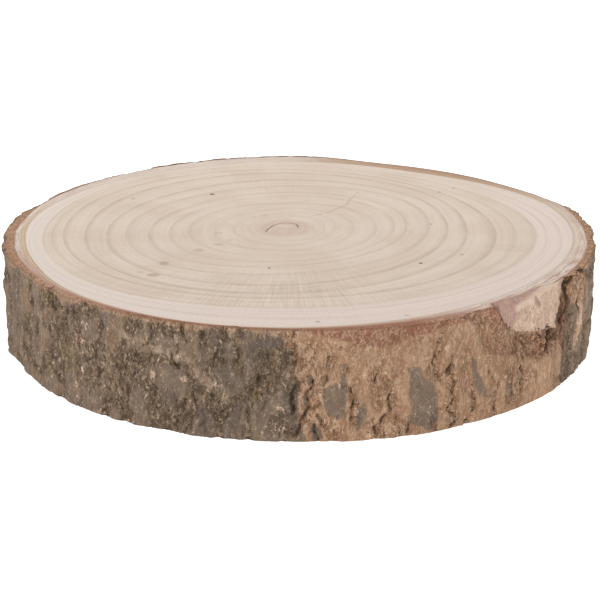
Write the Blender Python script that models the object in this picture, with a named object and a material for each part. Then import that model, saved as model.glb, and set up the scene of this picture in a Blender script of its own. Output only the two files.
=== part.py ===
"""A round slice sawn across a tree trunk, lying flat.

It is one solid: the wood with the bark that grew on it. Both sawn faces are flat and level. The side is a
plain band of small faces, pushed in by formula to the shape of the bark: its uneven outline, the upright
ridges and furrows, the fissures, one scar where the bark is torn away, and the chips along both edges.

Angles run counter-clockwise from +X, seen from above. The front of the slice is at 270 degrees.
"""

import math

import bmesh
import bpy
import numpy as np

MM = 0.001

# Driving dimensions, in millimetres
THICKNESS = 50.0
COLUMNS = 360
ROWS = 12

# Outer radius of the bark by angle. Between 17 and 81 degrees the outer bark has come off, and at 162
# degrees a narrow strip of it is missing.
RIM_RADIUS = (
    (0, 144.4), (14, 143.4), (17, 141.4), (20, 140.0), (26, 138.1), (35, 135.7), (44, 134.8), (60, 133.6),
    (70, 133.8), (76, 135.6), (81, 138.6), (88, 141.8), (96, 143.0), (130, 143.0), (150, 142.6), (159, 142.2),
    (162, 140.2), (165, 142.2), (172, 144.0), (195, 144.0), (208, 142.4), (218, 143.6), (250, 143.6),
    (260, 142.8), (278, 143.6), (291, 144.8), (302, 143.6), (332, 144.2), (346, 143.8),
)

# How rough the bark is by angle, from 0, smooth inner bark, to 1, coarse outer bark
ROUGHNESS = (
    (0, 0.9), (12, 0.9), (20, 0.15), (76, 0.15), (86, 0.8), (158, 0.8), (162, 0.3), (166, 0.9), (220, 1.0),
    (264, 0.9), (272, 0.45), (316, 0.45), (326, 0.95),
)

# Upright ridges and furrows of the bark, and the broader swellings under them
FURROW_DEPTH = 1.7
FURROWS_ROUND = 96
FURROWS_HIGH = 3
SWELL_DEPTH = 0.9
SWELLS_ROUND = 38
SWELLS_HIGH = 4

# The chips broken out along the upper and lower edge
CHIP_DEPTH = 1.3
CHIP_HEIGHT = 4.5
CHIPS_ROUND = 110
CHIPPED_SHARE = (0.55, 0.95)

# Long fissures: angle and height of the upper end, of the bend and of the lower end
FISSURES = (
    ((269.0, 49.0), (269.4, 36.0), (268.9, 14.0)),
    ((272.4, 28.0), (271.2, 20.0), (269.8, 4.0)),
    ((275.0, 38.0), (274.5, 31.0), (273.9, 25.0)),
    ((278.7, 27.4), (279.0, 18.0), (278.4, 8.5)),
    ((284.8, 24.0), (285.2, 12.0), (283.2, 3.0)),
    ((293.7, 41.0), (292.9, 30.0), (294.1, 25.0)),
    ((296.7, 32.0), (297.0, 19.0), (296.8, 1.0)),
    ((301.1, 15.0), (302.0, 8.0), (299.7, 1.0)),
    ((307.0, 15.0), (306.4, 8.0), (306.3, 2.0)),
    ((309.6, 18.0), (309.9, 11.0), (310.1, 4.0)),
    ((312.8, 19.6), (313.3, 14.0), (312.7, 8.0)),
    ((244.0, 47.0), (243.9, 40.0), (242.0, 37.0)),
    ((239.2, 19.0), (239.0, 12.0), (238.9, 3.0)),
    ((255.7, 37.0), (255.3, 26.0), (255.5, 12.0)),
    ((328.0, 50.0), (326.0, 40.0), (322.5, 25.0)),
)
FISSURE_DEPTH = 1.6
FISSURE_HALF_WIDTH = 2.6

# More fissures, placed by a seeded draw on the coarse bark all round
EXTRA_FISSURES = 70
EXTRA_LENGTH = (9.0, 24.0)
EXTRA_LEAN = 0.12
COARSE_ENOUGH = 0.6

# Where the bark is torn off the front right side: the line along the foot of the torn place as (angle,
# height) points, its right side as (height, angle) points, and how deep it lies at the sawn face and at its
# foot. In the scar the outer bark is gone and the pale inner bark shows, swelling out towards the foot; its
# right side is a step up to the standing bark. In the lobe left of it less of the bark is gone.
SCAR_FOOT = (
    (305.0, 53.0), (306.5, 49.0), (308.6, 40.0), (310.8, 36.0), (314.0, 33.4), (318.0, 31.6), (324.0, 30.0),
)
SCAR_RIGHT = ((28.0, 323.6), (41.0, 326.4), (50.0, 328.2))
SCAR_DEPTHS = (6.0, 2.4)
SCAR_SMOOTHNESS = 0.85
LOBE_FOOT = (
    (298.0, 52.0), (301.0, 46.0), (303.0, 35.0), (304.5, 30.5), (306.5, 28.5), (309.0, 26.5), (313.0, 26.5),
)
LOBE_RIGHT = ((0.0, 313.0), (50.0, 313.0))
LOBE_DEPTHS = (2.0, 1.3)
TORN_EDGE = 2.4
TORN_STEP = 0.6

# Below the lip the bark is splintered, with deep holes
SPLINTER_MIDDLE = (317.5, 27.0)
SPLINTER_HALF = (6.5, 6.0)
SPLINTER_FADE = (0.6, 1.1)
SPLINTER_DEPTH = 2.0
SPLINTERS_ROUND = 150
SPLINTERS_HIGH = 10

# Smooth band under the upper edge of the front, where the outer bark is rubbed off, and the lengths over
# which it fades at its left end, at its right end and along its foot
RUBBED_SPAN = (271.0, 311.0)
RUBBED_ENDS = (6.0, 4.0)
RUBBED_HEIGHT = 7.0
RUBBED_FOOT = 2.5
RUBBED_DEPTH = 0.7

SEED = 5960


def clear_scene():
    """Remove every object of the scene that the script starts in."""
    for existing in list(bpy.data.objects):
        bpy.data.objects.remove(existing, do_unlink=True)


def fade(low, high, value):
    """Rise smoothly from 0 at low to 1 at high."""
    t = np.clip((value - low) / (high - low), 0.0, 1.0)
    return t * t * (3.0 - 2.0 * t)


def around(table, degrees):
    """Read a table of (angle, value) pairs as a smooth closed curve round the slice."""
    angles = np.array([row[0] for row in table], dtype=float)
    values = np.array([row[1] for row in table], dtype=float)
    angles = np.concatenate((angles[-2:] - 360.0, angles, angles[:2] + 360.0))
    values = np.concatenate((values[-2:], values, values[:2]))
    slopes = (values[2:] - values[:-2]) / (angles[2:] - angles[:-2])
    slopes = np.concatenate(([0.0], slopes, [0.0]))
    wrapped = np.mod(degrees, 360.0)
    left = np.searchsorted(angles, wrapped, side="right") - 1
    span = angles[left + 1] - angles[left]
    t = (wrapped - angles[left]) / span
    blend = t * t * (3.0 - 2.0 * t)
    bulge_left = t * (1.0 - t) ** 2 * span * slopes[left]
    bulge_right = t * t * (1.0 - t) * span * slopes[left + 1]
    return values[left] * (1.0 - blend) + values[left + 1] * blend + bulge_left - bulge_right


def grain(degrees, height, round_cells, high_cells, seed):
    """Smooth seeded unevenness from 0 to 1 that closes on itself round the slice."""
    draw = np.random.default_rng(seed)
    lattice = draw.random((round_cells, high_cells + 2))
    across = np.mod(degrees, 360.0) / 360.0 * round_cells
    up = np.clip(height / THICKNESS, 0.0, 1.0) * high_cells
    column = np.floor(across).astype(int)
    row = np.floor(up).astype(int)
    t = across - column
    s = up - row
    t = t * t * (3.0 - 2.0 * t)
    s = s * s * (3.0 - 2.0 * s)
    near = column % round_cells
    far = (column + 1) % round_cells
    low = lattice[near, row] * (1.0 - t) + lattice[far, row] * t
    high = lattice[near, row + 1] * (1.0 - t) + lattice[far, row + 1] * t
    return low * (1.0 - s) + high * s


def distance_to_line(degrees, height, start, end):
    """Distance in millimetres, over the bark, from a straight line between two (angle, height) points."""
    radius = RIM_RADIUS[0][1]
    x = np.radians(np.mod(degrees - start[0] + 180.0, 360.0) - 180.0) * radius
    y = height - start[1]
    line_x = math.radians(end[0] - start[0]) * radius
    line_y = end[1] - start[1]
    t = np.clip((x * line_x + y * line_y) / (line_x**2 + line_y**2), 0.0, 1.0)
    return np.hypot(x - t * line_x, y - t * line_y)


def extra_fissures():
    """Short fissures on the coarse bark, each as its upper end, bend and lower end."""
    draw = np.random.default_rng(SEED)
    fissures = []
    while len(fissures) < EXTRA_FISSURES:
        angle = draw.uniform(0.0, 360.0)
        length = draw.uniform(*EXTRA_LENGTH)
        top = draw.uniform(length, THICKNESS)
        lean = draw.uniform(-EXTRA_LEAN, EXTRA_LEAN, 2) * length
        if around(ROUGHNESS, np.array([angle]))[0] < COARSE_ENOUGH:
            continue
        bend = (angle + lean[0], top - length / 2.0)
        foot = (angle + lean[1], top - length)
        fissures.append(((angle, top), bend, foot))
    return fissures


def fissure_depth(degrees, height):
    """Depth of the fissures below the bark."""
    depth = np.zeros_like(degrees)
    for top, bend, foot in list(FISSURES) + extra_fissures():
        for start, end in ((top, bend), (bend, foot)):
            away = distance_to_line(degrees, height, start, end)
            depth = np.maximum(depth, FISSURE_DEPTH * (1.0 - fade(0.0, FISSURE_HALF_WIDTH, away)))
    return depth


def torn_share(foot_line, right_side, degrees, height):
    """1 inside a torn place and 0 outside it: ragged along its foot, with a steep right side."""
    foot_angles = [point[0] for point in foot_line]
    foot_heights = [point[1] for point in foot_line]
    foot = np.interp(degrees, foot_angles, foot_heights)
    right_heights = [point[0] for point in right_side]
    right_angles = [point[1] for point in right_side]
    right = np.interp(height, right_heights, right_angles)
    above = fade(-TORN_EDGE / 2.0, TORN_EDGE / 2.0, height - foot)
    started = fade(foot_angles[0] - TORN_STEP, foot_angles[0] + TORN_STEP, degrees)
    ended = fade(right - TORN_STEP, right + TORN_STEP, degrees)
    return above * started * (1.0 - ended)


def torn_depth(foot_line, right_side, depths, degrees, height):
    """Depth of a torn place, changing evenly from the sawn face down to its lowest point."""
    lowest = min(point[1] for point in foot_line)
    up = np.clip((height - lowest) / (THICKNESS - lowest), 0.0, 1.0)
    at_face, at_foot = depths
    return torn_share(foot_line, right_side, degrees, height) * (at_foot + (at_face - at_foot) * up)


def splinter_depth(degrees, height):
    """Depth of the splintered bark below the scar."""
    x = (degrees - SPLINTER_MIDDLE[0]) / SPLINTER_HALF[0]
    y = (height - SPLINTER_MIDDLE[1]) / SPLINTER_HALF[1]
    share = 1.0 - fade(*SPLINTER_FADE, np.hypot(x, y))
    return share * SPLINTER_DEPTH * grain(degrees, height, SPLINTERS_ROUND, SPLINTERS_HIGH, SEED + 5)


def chip_depth(degrees, height):
    """Depth of the chips along the upper and lower edge."""
    near_top = fade(THICKNESS - CHIP_HEIGHT, THICKNESS, height)
    near_foot = fade(CHIP_HEIGHT, 0.0, height)
    chips = grain(degrees, height, CHIPS_ROUND, 1, SEED + 4)
    return CHIP_DEPTH * (near_top + near_foot) * fade(*CHIPPED_SHARE, chips)


def rubbed_depth(degrees, height):
    """Depth of the band under the upper edge that lost its outer bark."""
    start, end = RUBBED_SPAN
    left_fade, right_fade = RUBBED_ENDS
    foot = THICKNESS - RUBBED_HEIGHT
    along = fade(start, start + left_fade, degrees) * (1.0 - fade(end - right_fade, end, degrees))
    return RUBBED_DEPTH * along * fade(foot, foot + RUBBED_FOOT, height)


def bark_radius(degrees, height):
    """Radius of the side, in millimetres, at an angle and a height."""
    coarse = np.clip(around(ROUGHNESS, degrees), 0.0, 1.0)
    furrows = np.abs(2.0 * grain(degrees, height, FURROWS_ROUND, FURROWS_HIGH, SEED + 1) - 1.0)
    swells = grain(degrees, height, SWELLS_ROUND, SWELLS_HIGH, SEED + 2)
    scar = torn_share(SCAR_FOOT, SCAR_RIGHT, degrees, height)
    depth = coarse * (FURROW_DEPTH * (1.0 - furrows) ** 2 + SWELL_DEPTH * swells)
    depth = depth + coarse**0.5 * fissure_depth(degrees, height)
    depth = depth * (1.0 - SCAR_SMOOTHNESS * scar)
    scar_depth = torn_depth(SCAR_FOOT, SCAR_RIGHT, SCAR_DEPTHS, degrees, height)
    lobe_depth = torn_depth(LOBE_FOOT, LOBE_RIGHT, LOBE_DEPTHS, degrees, height)
    depth = depth + np.maximum(scar_depth, lobe_depth) + splinter_depth(degrees, height)
    depth = depth + chip_depth(degrees, height) * coarse + rubbed_depth(degrees, height)
    return around(RIM_RADIUS, degrees) - depth


def plain_slice():
    """A plain round slice of radius 1: a ring drawn up row by row, with both faces filled."""
    mesh = bmesh.new()
    ring = bmesh.ops.create_circle(mesh, cap_ends=False, radius=1.0, segments=COLUMNS)["verts"]
    edges = list(mesh.edges)
    mesh.faces.new(sorted(ring, key=lambda v: -math.atan2(v.co.y, v.co.x)))
    for _ in range(ROWS):
        drawn = bmesh.ops.extrude_edge_only(mesh, edges=edges)["geom"]
        ring = [item for item in drawn if isinstance(item, bmesh.types.BMVert)]
        edges = [item for item in drawn if isinstance(item, bmesh.types.BMEdge)]
        bmesh.ops.translate(mesh, verts=ring, vec=(0.0, 0.0, THICKNESS / ROWS))
    mesh.faces.new(sorted(ring, key=lambda v: math.atan2(v.co.y, v.co.x)))
    return mesh


def shape_bark(mesh):
    """Move each point of the plain slice to the bark, in metres, and centre the whole on the origin."""
    points = np.array([vertex.co[:] for vertex in mesh.verts])
    degrees = np.mod(np.degrees(np.arctan2(points[:, 1], points[:, 0])), 360.0)
    radius = bark_radius(degrees, points[:, 2])
    x = radius * np.cos(np.radians(degrees))
    y = radius * np.sin(np.radians(degrees))
    x = x - (x.max() + x.min()) / 2.0
    y = y - (y.max() + y.min()) / 2.0
    for vertex, place in zip(mesh.verts, np.stack((x, y, points[:, 2]), axis=1) * MM):
        vertex.co = place


def principled(name, colour, roughness):
    """A plain material with the part's own colour and roughness."""
    material = bpy.data.materials.new(name)
    material.use_nodes = True
    shader = material.node_tree.nodes["Principled BSDF"]
    shader.inputs["Base Color"].default_value = (*colour, 1.0)
    shader.inputs["Roughness"].default_value = roughness
    shader.inputs["Metallic"].default_value = 0.0
    return material


def make_wood_slice():
    """The whole slice as one object, with the sawn faces pale and the bark brown."""
    bark = principled("bark", (0.20, 0.14, 0.095), 0.9)
    sawn_wood = principled("sawn_wood", (0.72, 0.60, 0.48), 0.75)
    shape = plain_slice()
    shape_bark(shape)
    bmesh.ops.recalc_face_normals(shape, faces=shape.faces)
    for face in shape.faces:
        is_sawn = len(face.verts) == COLUMNS
        face.material_index = 1 if is_sawn else 0
        face.smooth = not is_sawn
    mesh = bpy.data.meshes.new("wood_slice")
    shape.to_mesh(mesh)
    shape.free()
    mesh.materials.append(bark)
    mesh.materials.append(sawn_wood)
    wood_slice = bpy.data.objects.new("wood_slice", mesh)
    bpy.context.scene.collection.objects.link(wood_slice)
    return wood_slice


clear_scene()
make_wood_slice()
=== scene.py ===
"""The looks of the wood slice: pale sawn faces with growth rings, and a rough bark side.

The slice is one grown piece. Two finer meshes stand for its solid: the sawn wood inside the cambium line, and
the ring of bark round it. Both follow the outline and the relief of the solid, and add the fine detail.

Lengths are in millimetres and angles in degrees until a mesh is written, which is in metres. Angles run
counter-clockwise from +X, seen from above, so the front of the slice is at 270 degrees.
"""

import logging
import math
from collections.abc import Mapping, Sequence
from dataclasses import dataclass, field, replace
from enum import Enum

import bpy
import numpy as np
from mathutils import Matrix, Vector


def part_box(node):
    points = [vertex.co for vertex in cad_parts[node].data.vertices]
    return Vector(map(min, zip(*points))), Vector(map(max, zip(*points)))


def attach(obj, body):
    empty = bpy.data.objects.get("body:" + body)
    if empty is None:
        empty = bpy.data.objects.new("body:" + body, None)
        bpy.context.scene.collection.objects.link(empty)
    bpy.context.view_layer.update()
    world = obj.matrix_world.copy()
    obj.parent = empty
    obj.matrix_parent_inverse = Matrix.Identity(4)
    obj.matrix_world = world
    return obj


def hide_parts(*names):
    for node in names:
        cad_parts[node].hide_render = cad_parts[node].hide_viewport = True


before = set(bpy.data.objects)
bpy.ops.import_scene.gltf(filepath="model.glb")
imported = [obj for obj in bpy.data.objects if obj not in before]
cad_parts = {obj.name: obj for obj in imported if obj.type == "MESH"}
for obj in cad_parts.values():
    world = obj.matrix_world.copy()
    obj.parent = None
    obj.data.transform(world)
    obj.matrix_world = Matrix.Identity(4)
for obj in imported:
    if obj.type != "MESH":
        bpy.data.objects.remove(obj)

Array = np.ndarray
Point = tuple[float, float]
Colour = tuple[float, float, float, float]

MM = 0.001
THICKNESS = 50.0
SEED = 5960
NODE = "wood_slice"
BODY = "root"

# The radius that distances round the bark are measured at
RIM = 144.0
# How far the mark of a crack reaches past its sides
CRACK_REACH = 2.5
# Farther away than any place on the slice
FAR = 1.0e6

log = logging.getLogger("wood_slice")


class Mask(Enum):
    """The vertex attributes that the meshes carry for their finishes."""

    WEATHERED = "weathered"
    SMOOTH = "smooth"
    ROUGH = "rough"
    BLUE = "blue"
    BRIM = "brim"
    PALE = "pale"
    FISSURE = "fissure"
    RED = "red"
    BARE = "bare"
    OLIVE = "olive"
    # Chips, and the painted highlight along the scar's ridge
    CHIP_AND_RIDGE_HIGHLIGHT = "chip"
    TORN = "torn"
    # Where the fine hollows are, for the painted shade in them
    HOLLOW_SHADE = "hollow"
    CUT = "cut"
    LAYER = "layer"
    TAN_CUT = "tan_cut"
    RED_CUT = "red_cut"
    FIBRE_CUT = "fibre_cut"
    RING = "ring"
    RING_LINE = "ring_line"


def ease(share: Array) -> Array:
    """Round off a share from 0 to 1 at both ends."""
    return share * share * (3.0 - 2.0 * share)


def fade(low: float, high: float, value: Array) -> Array:
    """Rise smoothly from 0 at low to 1 at high.

    Args:
        low: Where the rise starts.
        high: Where the rise ends.
        value: The values to read.

    Returns:
        The share from 0 to 1 for each value.
    """
    return ease(np.clip((value - low) / (high - low), 0.0, 1.0))


def over_bark(degrees: Array, angle: float) -> Array:
    """Distance round the bark, in millimetres, from an angle to each of the others."""
    return (np.mod(degrees - angle + 180.0, 360.0) - 180.0) * math.radians(RIM)


def span_of(line: Sequence[Point], margin: float) -> Point:
    """Where a line lies round the slice.

    Args:
        line: (angle, height) points.
        margin: How far it counts past them, in millimetres.

    Returns:
        Its middle angle, and how far it reaches round the bark from there, in millimetres.
    """
    angles = [angle for angle, _ in line]
    half = (max(angles) - min(angles)) / 2.0
    return (max(angles) + min(angles)) / 2.0, math.radians(half) * RIM + margin


def from_line(x: Array, y: Array, run: float, rise: float) -> Array:
    """Distance from a straight line that starts at (0, 0).

    Args:
        x: Places across.
        y: Places up.
        run: Where the line ends across.
        rise: Where the line ends upwards.

    Returns:
        The distance of each place from the nearest point of the line.
    """
    t = np.clip((x * run + y * rise) / (run**2 + rise**2), 0.0, 1.0)
    return np.hypot(x - t * run, y - t * rise)


def read_off(line: Sequence[Point], where: Array) -> Array:
    """The second numbers of a line of pairs, read off at the first numbers given."""
    return np.interp(where, *zip(*line))


@dataclass(frozen=True)
class Places:
    """Places on the side of the slice.

    Attributes:
        degrees: Their angles round the slice.
        height: Their heights above the underside.
    """

    degrees: Array
    height: Array

    def moved(self, degrees: Array, height: Array | float = 0.0) -> "Places":
        """The places moved by some angles and heights."""
        return Places(self.degrees + degrees, self.height + height)

    def only(self, chosen: Array) -> "Places":
        """Some of the places."""
        return Places(self.degrees[chosen], self.height[chosen])


@dataclass(frozen=True)
class RoundCurve:
    """A value that changes smoothly round the slice and closes on itself.

    Attributes:
        points: (angle, value) pairs in rising order of angle.
    """

    points: tuple[Point, ...]

    def at(self, degrees: Array) -> Array:
        """Read the curve.

        Args:
            degrees: The angles to read it at.

        Returns:
            The value at each angle.
        """
        angles, values = np.array(self.points, dtype=float).T
        angles = np.concatenate((angles[-2:] - 360.0, angles, angles[:2] + 360.0))
        values = np.concatenate((values[-2:], values, values[:2]))
        slopes = (values[2:] - values[:-2]) / (angles[2:] - angles[:-2])
        slopes = np.concatenate(([0.0], slopes, [0.0]))
        wrapped = np.mod(degrees, 360.0)
        left = np.searchsorted(angles, wrapped, side="right") - 1
        span = angles[left + 1] - angles[left]
        t = (wrapped - angles[left]) / span
        blend = ease(t)
        bulge_left = t * (1.0 - t) ** 2 * span * slopes[left]
        bulge_right = t * t * (1.0 - t) * span * slopes[left + 1]
        return values[left] * (1.0 - blend) + values[left + 1] * blend + bulge_left - bulge_right


@dataclass(frozen=True)
class Grain:
    """Smooth seeded unevenness from 0 to 1 over the side of the slice.

    Attributes:
        round_cells: Cells round the slice.
        high_cells: Cells from the underside to the upper face.
        draw: Number of the seeded draw.
    """

    round_cells: int
    high_cells: int
    draw: int

    def at(self, places: Places) -> Array:
        """Read the unevenness.

        Args:
            places: Where to read it.

        Returns:
            A value from 0 to 1 for each place.
        """
        draw = np.random.default_rng(SEED + self.draw)
        lattice = draw.random((self.round_cells, self.high_cells + 2))
        across = np.mod(places.degrees, 360.0) / 360.0 * self.round_cells
        up = np.clip(places.height / THICKNESS, 0.0, 1.0) * self.high_cells
        column = np.floor(across).astype(int)
        row = np.floor(up).astype(int)
        t = ease(across - column)
        s = ease(up - row)
        near = column % self.round_cells
        far = (column + 1) % self.round_cells
        low = lattice[near, row] * (1.0 - t) + lattice[far, row] * t
        high = lattice[near, row + 1] * (1.0 - t) + lattice[far, row + 1] * t
        return low * (1.0 - s) + high * s

    def furrows(self, places: Places) -> Array:
        """The same unevenness folded into winding furrows, 1 in a furrow and 0 between them."""
        return (1.0 - np.abs(2.0 * self.at(places) - 1.0)) ** 2

    def shift(self, places: Places, amount: float) -> Array:
        """The same unevenness spread over an amount, half of it either side of 0."""
        return amount * (self.at(places) - 0.5)


@dataclass(frozen=True)
class Crack:
    """A crack, or any thin mark, along a line over the bark.

    Attributes:
        line: (angle, height) points along it.
        half_width: Half its width.
        strength: How deep and dark it is, 1 for the strongest.
    """

    line: tuple[Point, ...]
    half_width: float = 0.8
    strength: float = 1.0

    def span(self) -> Point:
        """Its middle angle, and how far it reaches round the bark from there, in millimetres."""
        return span_of(self.line, self.half_width + CRACK_REACH)

    def away(self, places: Places) -> Array:
        """Measure how far the places are from the crack's line.

        Args:
            places: The places.

        Returns:
            The distance of each.
        """
        nearest = np.full(places.degrees.shape, FAR)
        for start, end in zip(self.line, self.line[1:]):
            run = float(over_bark(np.array(end[0]), start[0]))
            x = over_bark(places.degrees, start[0])
            nearest = np.minimum(nearest, from_line(x, places.height - start[1], run, end[1] - start[1]))
        return nearest

    def at(self, places: Places) -> Array:
        """Read how near the crack is: 1 on its sides if it is strong, more inside it, 0 out of its reach."""
        near = 1.0 + (self.half_width - self.away(places)) / CRACK_REACH
        return np.clip(near - 0.4 * (1.0 - self.strength), 0.0, 1.4)


@dataclass(frozen=True)
class Spot:
    """A soft oval over the bark.

    Attributes:
        angle: Where its middle is round the slice.
        height: Height of its middle.
        half_width: Half its width.
        half_height: Half its height.
        strength: 1 for the strongest.
    """

    angle: float
    height: float
    half_width: float
    half_height: float
    strength: float = 1.0

    def span(self) -> Point:
        """Its middle angle, and how far it reaches round the bark from there, in millimetres."""
        return self.angle, 1.25 * self.half_width

    def at(self, places: Places) -> Array:
        """Read the spot.

        Args:
            places: Where to read it.

        Returns:
            Its strength in the middle, 0 outside.
        """
        x = over_bark(places.degrees, self.angle) / self.half_width
        y = (places.height - self.height) / self.half_height
        return self.strength * (1.0 - fade(0.55, 1.25, np.hypot(x, y)))


@dataclass(frozen=True)
class Patch:
    """An area over the bark inside a closed outline.

    Attributes:
        outline: (angle, height) corners.
        edge: Width over which its edge fades.
        strength: 1 for the strongest.
    """

    outline: tuple[Point, ...]
    edge: float = 4.0
    strength: float = 1.0

    def span(self) -> Point:
        """Its middle angle, and how far it reaches round the bark from there, in millimetres."""
        return span_of(self.outline, self.edge)

    def at(self, places: Places) -> Array:
        """Read the patch.

        Args:
            places: Where to read it.

        Returns:
            Its strength well inside, 0 well outside.
        """
        base = self.outline[0][0]
        x, height = over_bark(places.degrees, base), places.height
        corners = [(float(over_bark(np.array(angle), base)), high) for angle, high in self.outline]
        away = np.full_like(x, FAR)
        inside = np.zeros(x.shape, dtype=bool)
        for (x0, y0), (x1, y1) in zip(corners, corners[1:] + corners[:1]):
            away = np.minimum(away, from_line(x - x0, height - y0, x1 - x0, y1 - y0))
            if y0 != y1:
                crosses = (y0 > height) != (y1 > height)
                inside ^= crosses & (x < x0 + (height - y0) * (x1 - x0) / (y1 - y0))
        return self.strength * fade(-self.edge / 2.0, self.edge / 2.0, np.where(inside, away, -away))


def spots(*rows: tuple[float, ...]) -> tuple[Spot, ...]:
    """Spots from rows of angle, height, half width, half height and, unless it is 1, strength."""
    return tuple(Spot(*row) for row in rows)


def strongest(features: Sequence[Crack | Spot | Patch], places: Places) -> Array:
    """The strongest of several features at each place.

    Args:
        features: The features to read.
        places: Where to read them.

    Returns:
        The largest value at each place, or 0 where there is none.
    """
    share = np.zeros_like(places.degrees)
    for feature in features:
        middle, reach = feature.span()
        close = np.abs(over_bark(places.degrees, middle)) < reach
        share[close] = np.maximum(share[close], feature.at(places.only(close)))
    return share


@dataclass(frozen=True)
class TornPlace:
    """A place on the front right side where bark is torn off, from the sawn face down to a ragged foot.

    Attributes:
        foot: (angle, height) points along its foot, from its left end.
        right: (height, angle) points up its steep right side.
        ridge: (angle, height) points along the ridge that it bends at.
        depths: Depth at the foot, at the ridge and at the sawn face.
        edge: Width over which the foot fades.
        step: Angle over which its sides fade.
    """

    foot: tuple[Point, ...]
    right: tuple[Point, ...]
    ridge: tuple[Point, ...]
    depths: tuple[float, float, float]
    edge: float = 1.6
    step: float = 0.35

    def share(self, places: Places) -> Array:
        """Tell what lies inside the torn place.

        Args:
            places: Where to read it.

        Returns:
            1 inside it and 0 outside it.
        """
        start = self.foot[0][0]
        above = fade(-self.edge / 2.0, self.edge / 2.0, places.height - read_off(self.foot, places.degrees))
        started = fade(start - self.step, start + self.step, places.degrees)
        ended = fade(-self.step, self.step, places.degrees - read_off(self.right, places.height))
        return above * started * (1.0 - ended)

    def depth(self, places: Places) -> Array:
        """Work out how deep the torn place lies below the bark.

        Args:
            places: Where to read it.

        Returns:
            The depth at each place, 0 outside.
        """
        at_foot, at_ridge, at_face = self.depths
        lowest = min(point[1] for point in self.foot)
        ridge = read_off(self.ridge, places.degrees)
        below = np.clip((places.height - lowest) / (ridge - lowest), 0.0, 1.0)
        above = np.clip((places.height - ridge) / np.maximum(THICKNESS - ridge, 1.0), 0.0, 1.0)
        depth = at_foot + (at_ridge - at_foot) * below + (at_face - at_ridge) * above
        return self.share(places) * depth


# The outline over the bark, as its distance from the middle
RIM_RADIUS = RoundCurve((
    (0, 144.4), (14, 143.4), (17, 141.4), (20, 140), (26, 138.1), (35, 135.7), (44, 134.8), (60, 133.6),
    (70, 133.8), (76, 135.6), (81, 138.6), (88, 141.8), (96, 143), (130, 143), (150, 142.6), (159, 142.2),
    (162, 140.6), (165, 142.8), (172, 144.8), (195, 144.9), (208, 143), (218, 143.8), (250, 143.6),
    (260, 142.8), (278, 143.6), (291, 144.8), (302, 143.6), (332, 144.2), (346, 143.8),
))

# How coarse the relief of the side is, from 0 to 1
ROUGHNESS = RoundCurve((
    (0, 0.9), (12, 0.9), (20, 0.15), (76, 0.15), (86, 0.8), (158, 0.8), (162, 0.3), (166, 0.9), (220, 1),
    (264, 0.9), (272, 0.45), (316, 0.45), (326, 0.95),
))

# The bare facet under the upper face, and the shallower lobe left of it
SCAR = TornPlace(
    foot=((305, 53), (306.5, 49), (308.6, 40), (310.8, 36), (314, 33.4), (318, 31.6), (324, 30)),
    right=((28, 323.6), (41, 326.4), (50, 328.2)),
    ridge=((306, 44), (311.3, 44.6), (316, 46.6), (320, 48.4), (325, 50.2), (330, 52)),
    depths=(2, 3.9, 6.2),
    edge=3.2,
)
LOBE = TornPlace(
    foot=((298, 52), (301, 46), (303, 35), (304.5, 30.5), (306.5, 28.5), (309, 26.5), (313, 26.5)),
    right=((0, 313), (50, 313)),
    ridge=((300, 38), (313, 38)),
    depths=(0.8, 1.2, 1.8),
    step=0.9,
)

# Where the pith lies, off the middle of the slice
PITH = (-7.3, 0.0)

# The cambium line, where the wood ends and the bark begins, as its distance from the pith
CAMBIUM = RoundCurve((
    (0, 141.1), (16, 141.6), (30, 137.2), (41, 132.8), (52, 128.4), (62, 127), (75, 128.2), (90, 129.4),
    (105, 128.6), (120, 127.5), (135, 127.6), (148, 127.4), (158, 127.2), (170, 127.5), (180, 126.9),
    (191, 126.2), (206, 127), (220, 130.8), (230, 133.2), (239, 135), (255, 138.1), (269, 139.4),
    (283, 139.4), (296, 139), (306, 138.4), (318, 137.7), (330, 138.2), (345, 139.6),
))

# The line where the inner bark ends and the outer bark begins on the sawn faces, from the middle of the slice
OUTER_BARK = RoundCurve((
    (0, 139.3), (11, 140.1), (17, 140.6), (20, 139.3), (26, 137.4), (35, 135), (44, 134.1), (60, 132.9),
    (70, 133), (76, 134.6), (81, 137.2), (88, 139.6), (96, 140.6), (130, 140.8), (150, 140.2), (159, 139.9),
    (166, 139.6), (172, 138.8), (195, 138.8), (208, 138.7), (218, 140.2), (235, 141), (262, 141.3),
    (290, 141.6), (303, 140.5), (318, 139.4), (329, 139.3), (334, 139.6), (346, 139.4),
))

# How tan and how red the inner bark is on the sawn faces, from 0 to 1
TAN_CUT = RoundCurve((
    (0, 0.35), (14, 0.45), (24, 0.9), (60, 1), (78, 0.8), (92, 0.12), (156, 0.1), (166, 0.5), (180, 0.75),
    (210, 0.8), (228, 0.9), (250, 0.8), (292, 0.7), (303, 0.15), (330, 0.15), (345, 0.3),
))
RED_CUT = RoundCurve((
    (0, 0.1), (20, 0.35), (70, 0.3), (95, 0), (185, 0.05), (205, 0.5), (225, 0.85), (245, 1), (290, 1),
    (300, 0.7), (308, 0.1), (345, 0.15),
))

# How fibrous the inner bark is on the sawn faces, from 0 to 1
FIBRE_CUT = RoundCurve((
    (0, 0.35), (20, 0.2), (90, 0.1), (180, 0.25), (280, 0.1), (298, 0.5), (310, 1), (332, 1), (345, 0.6),
))

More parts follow.
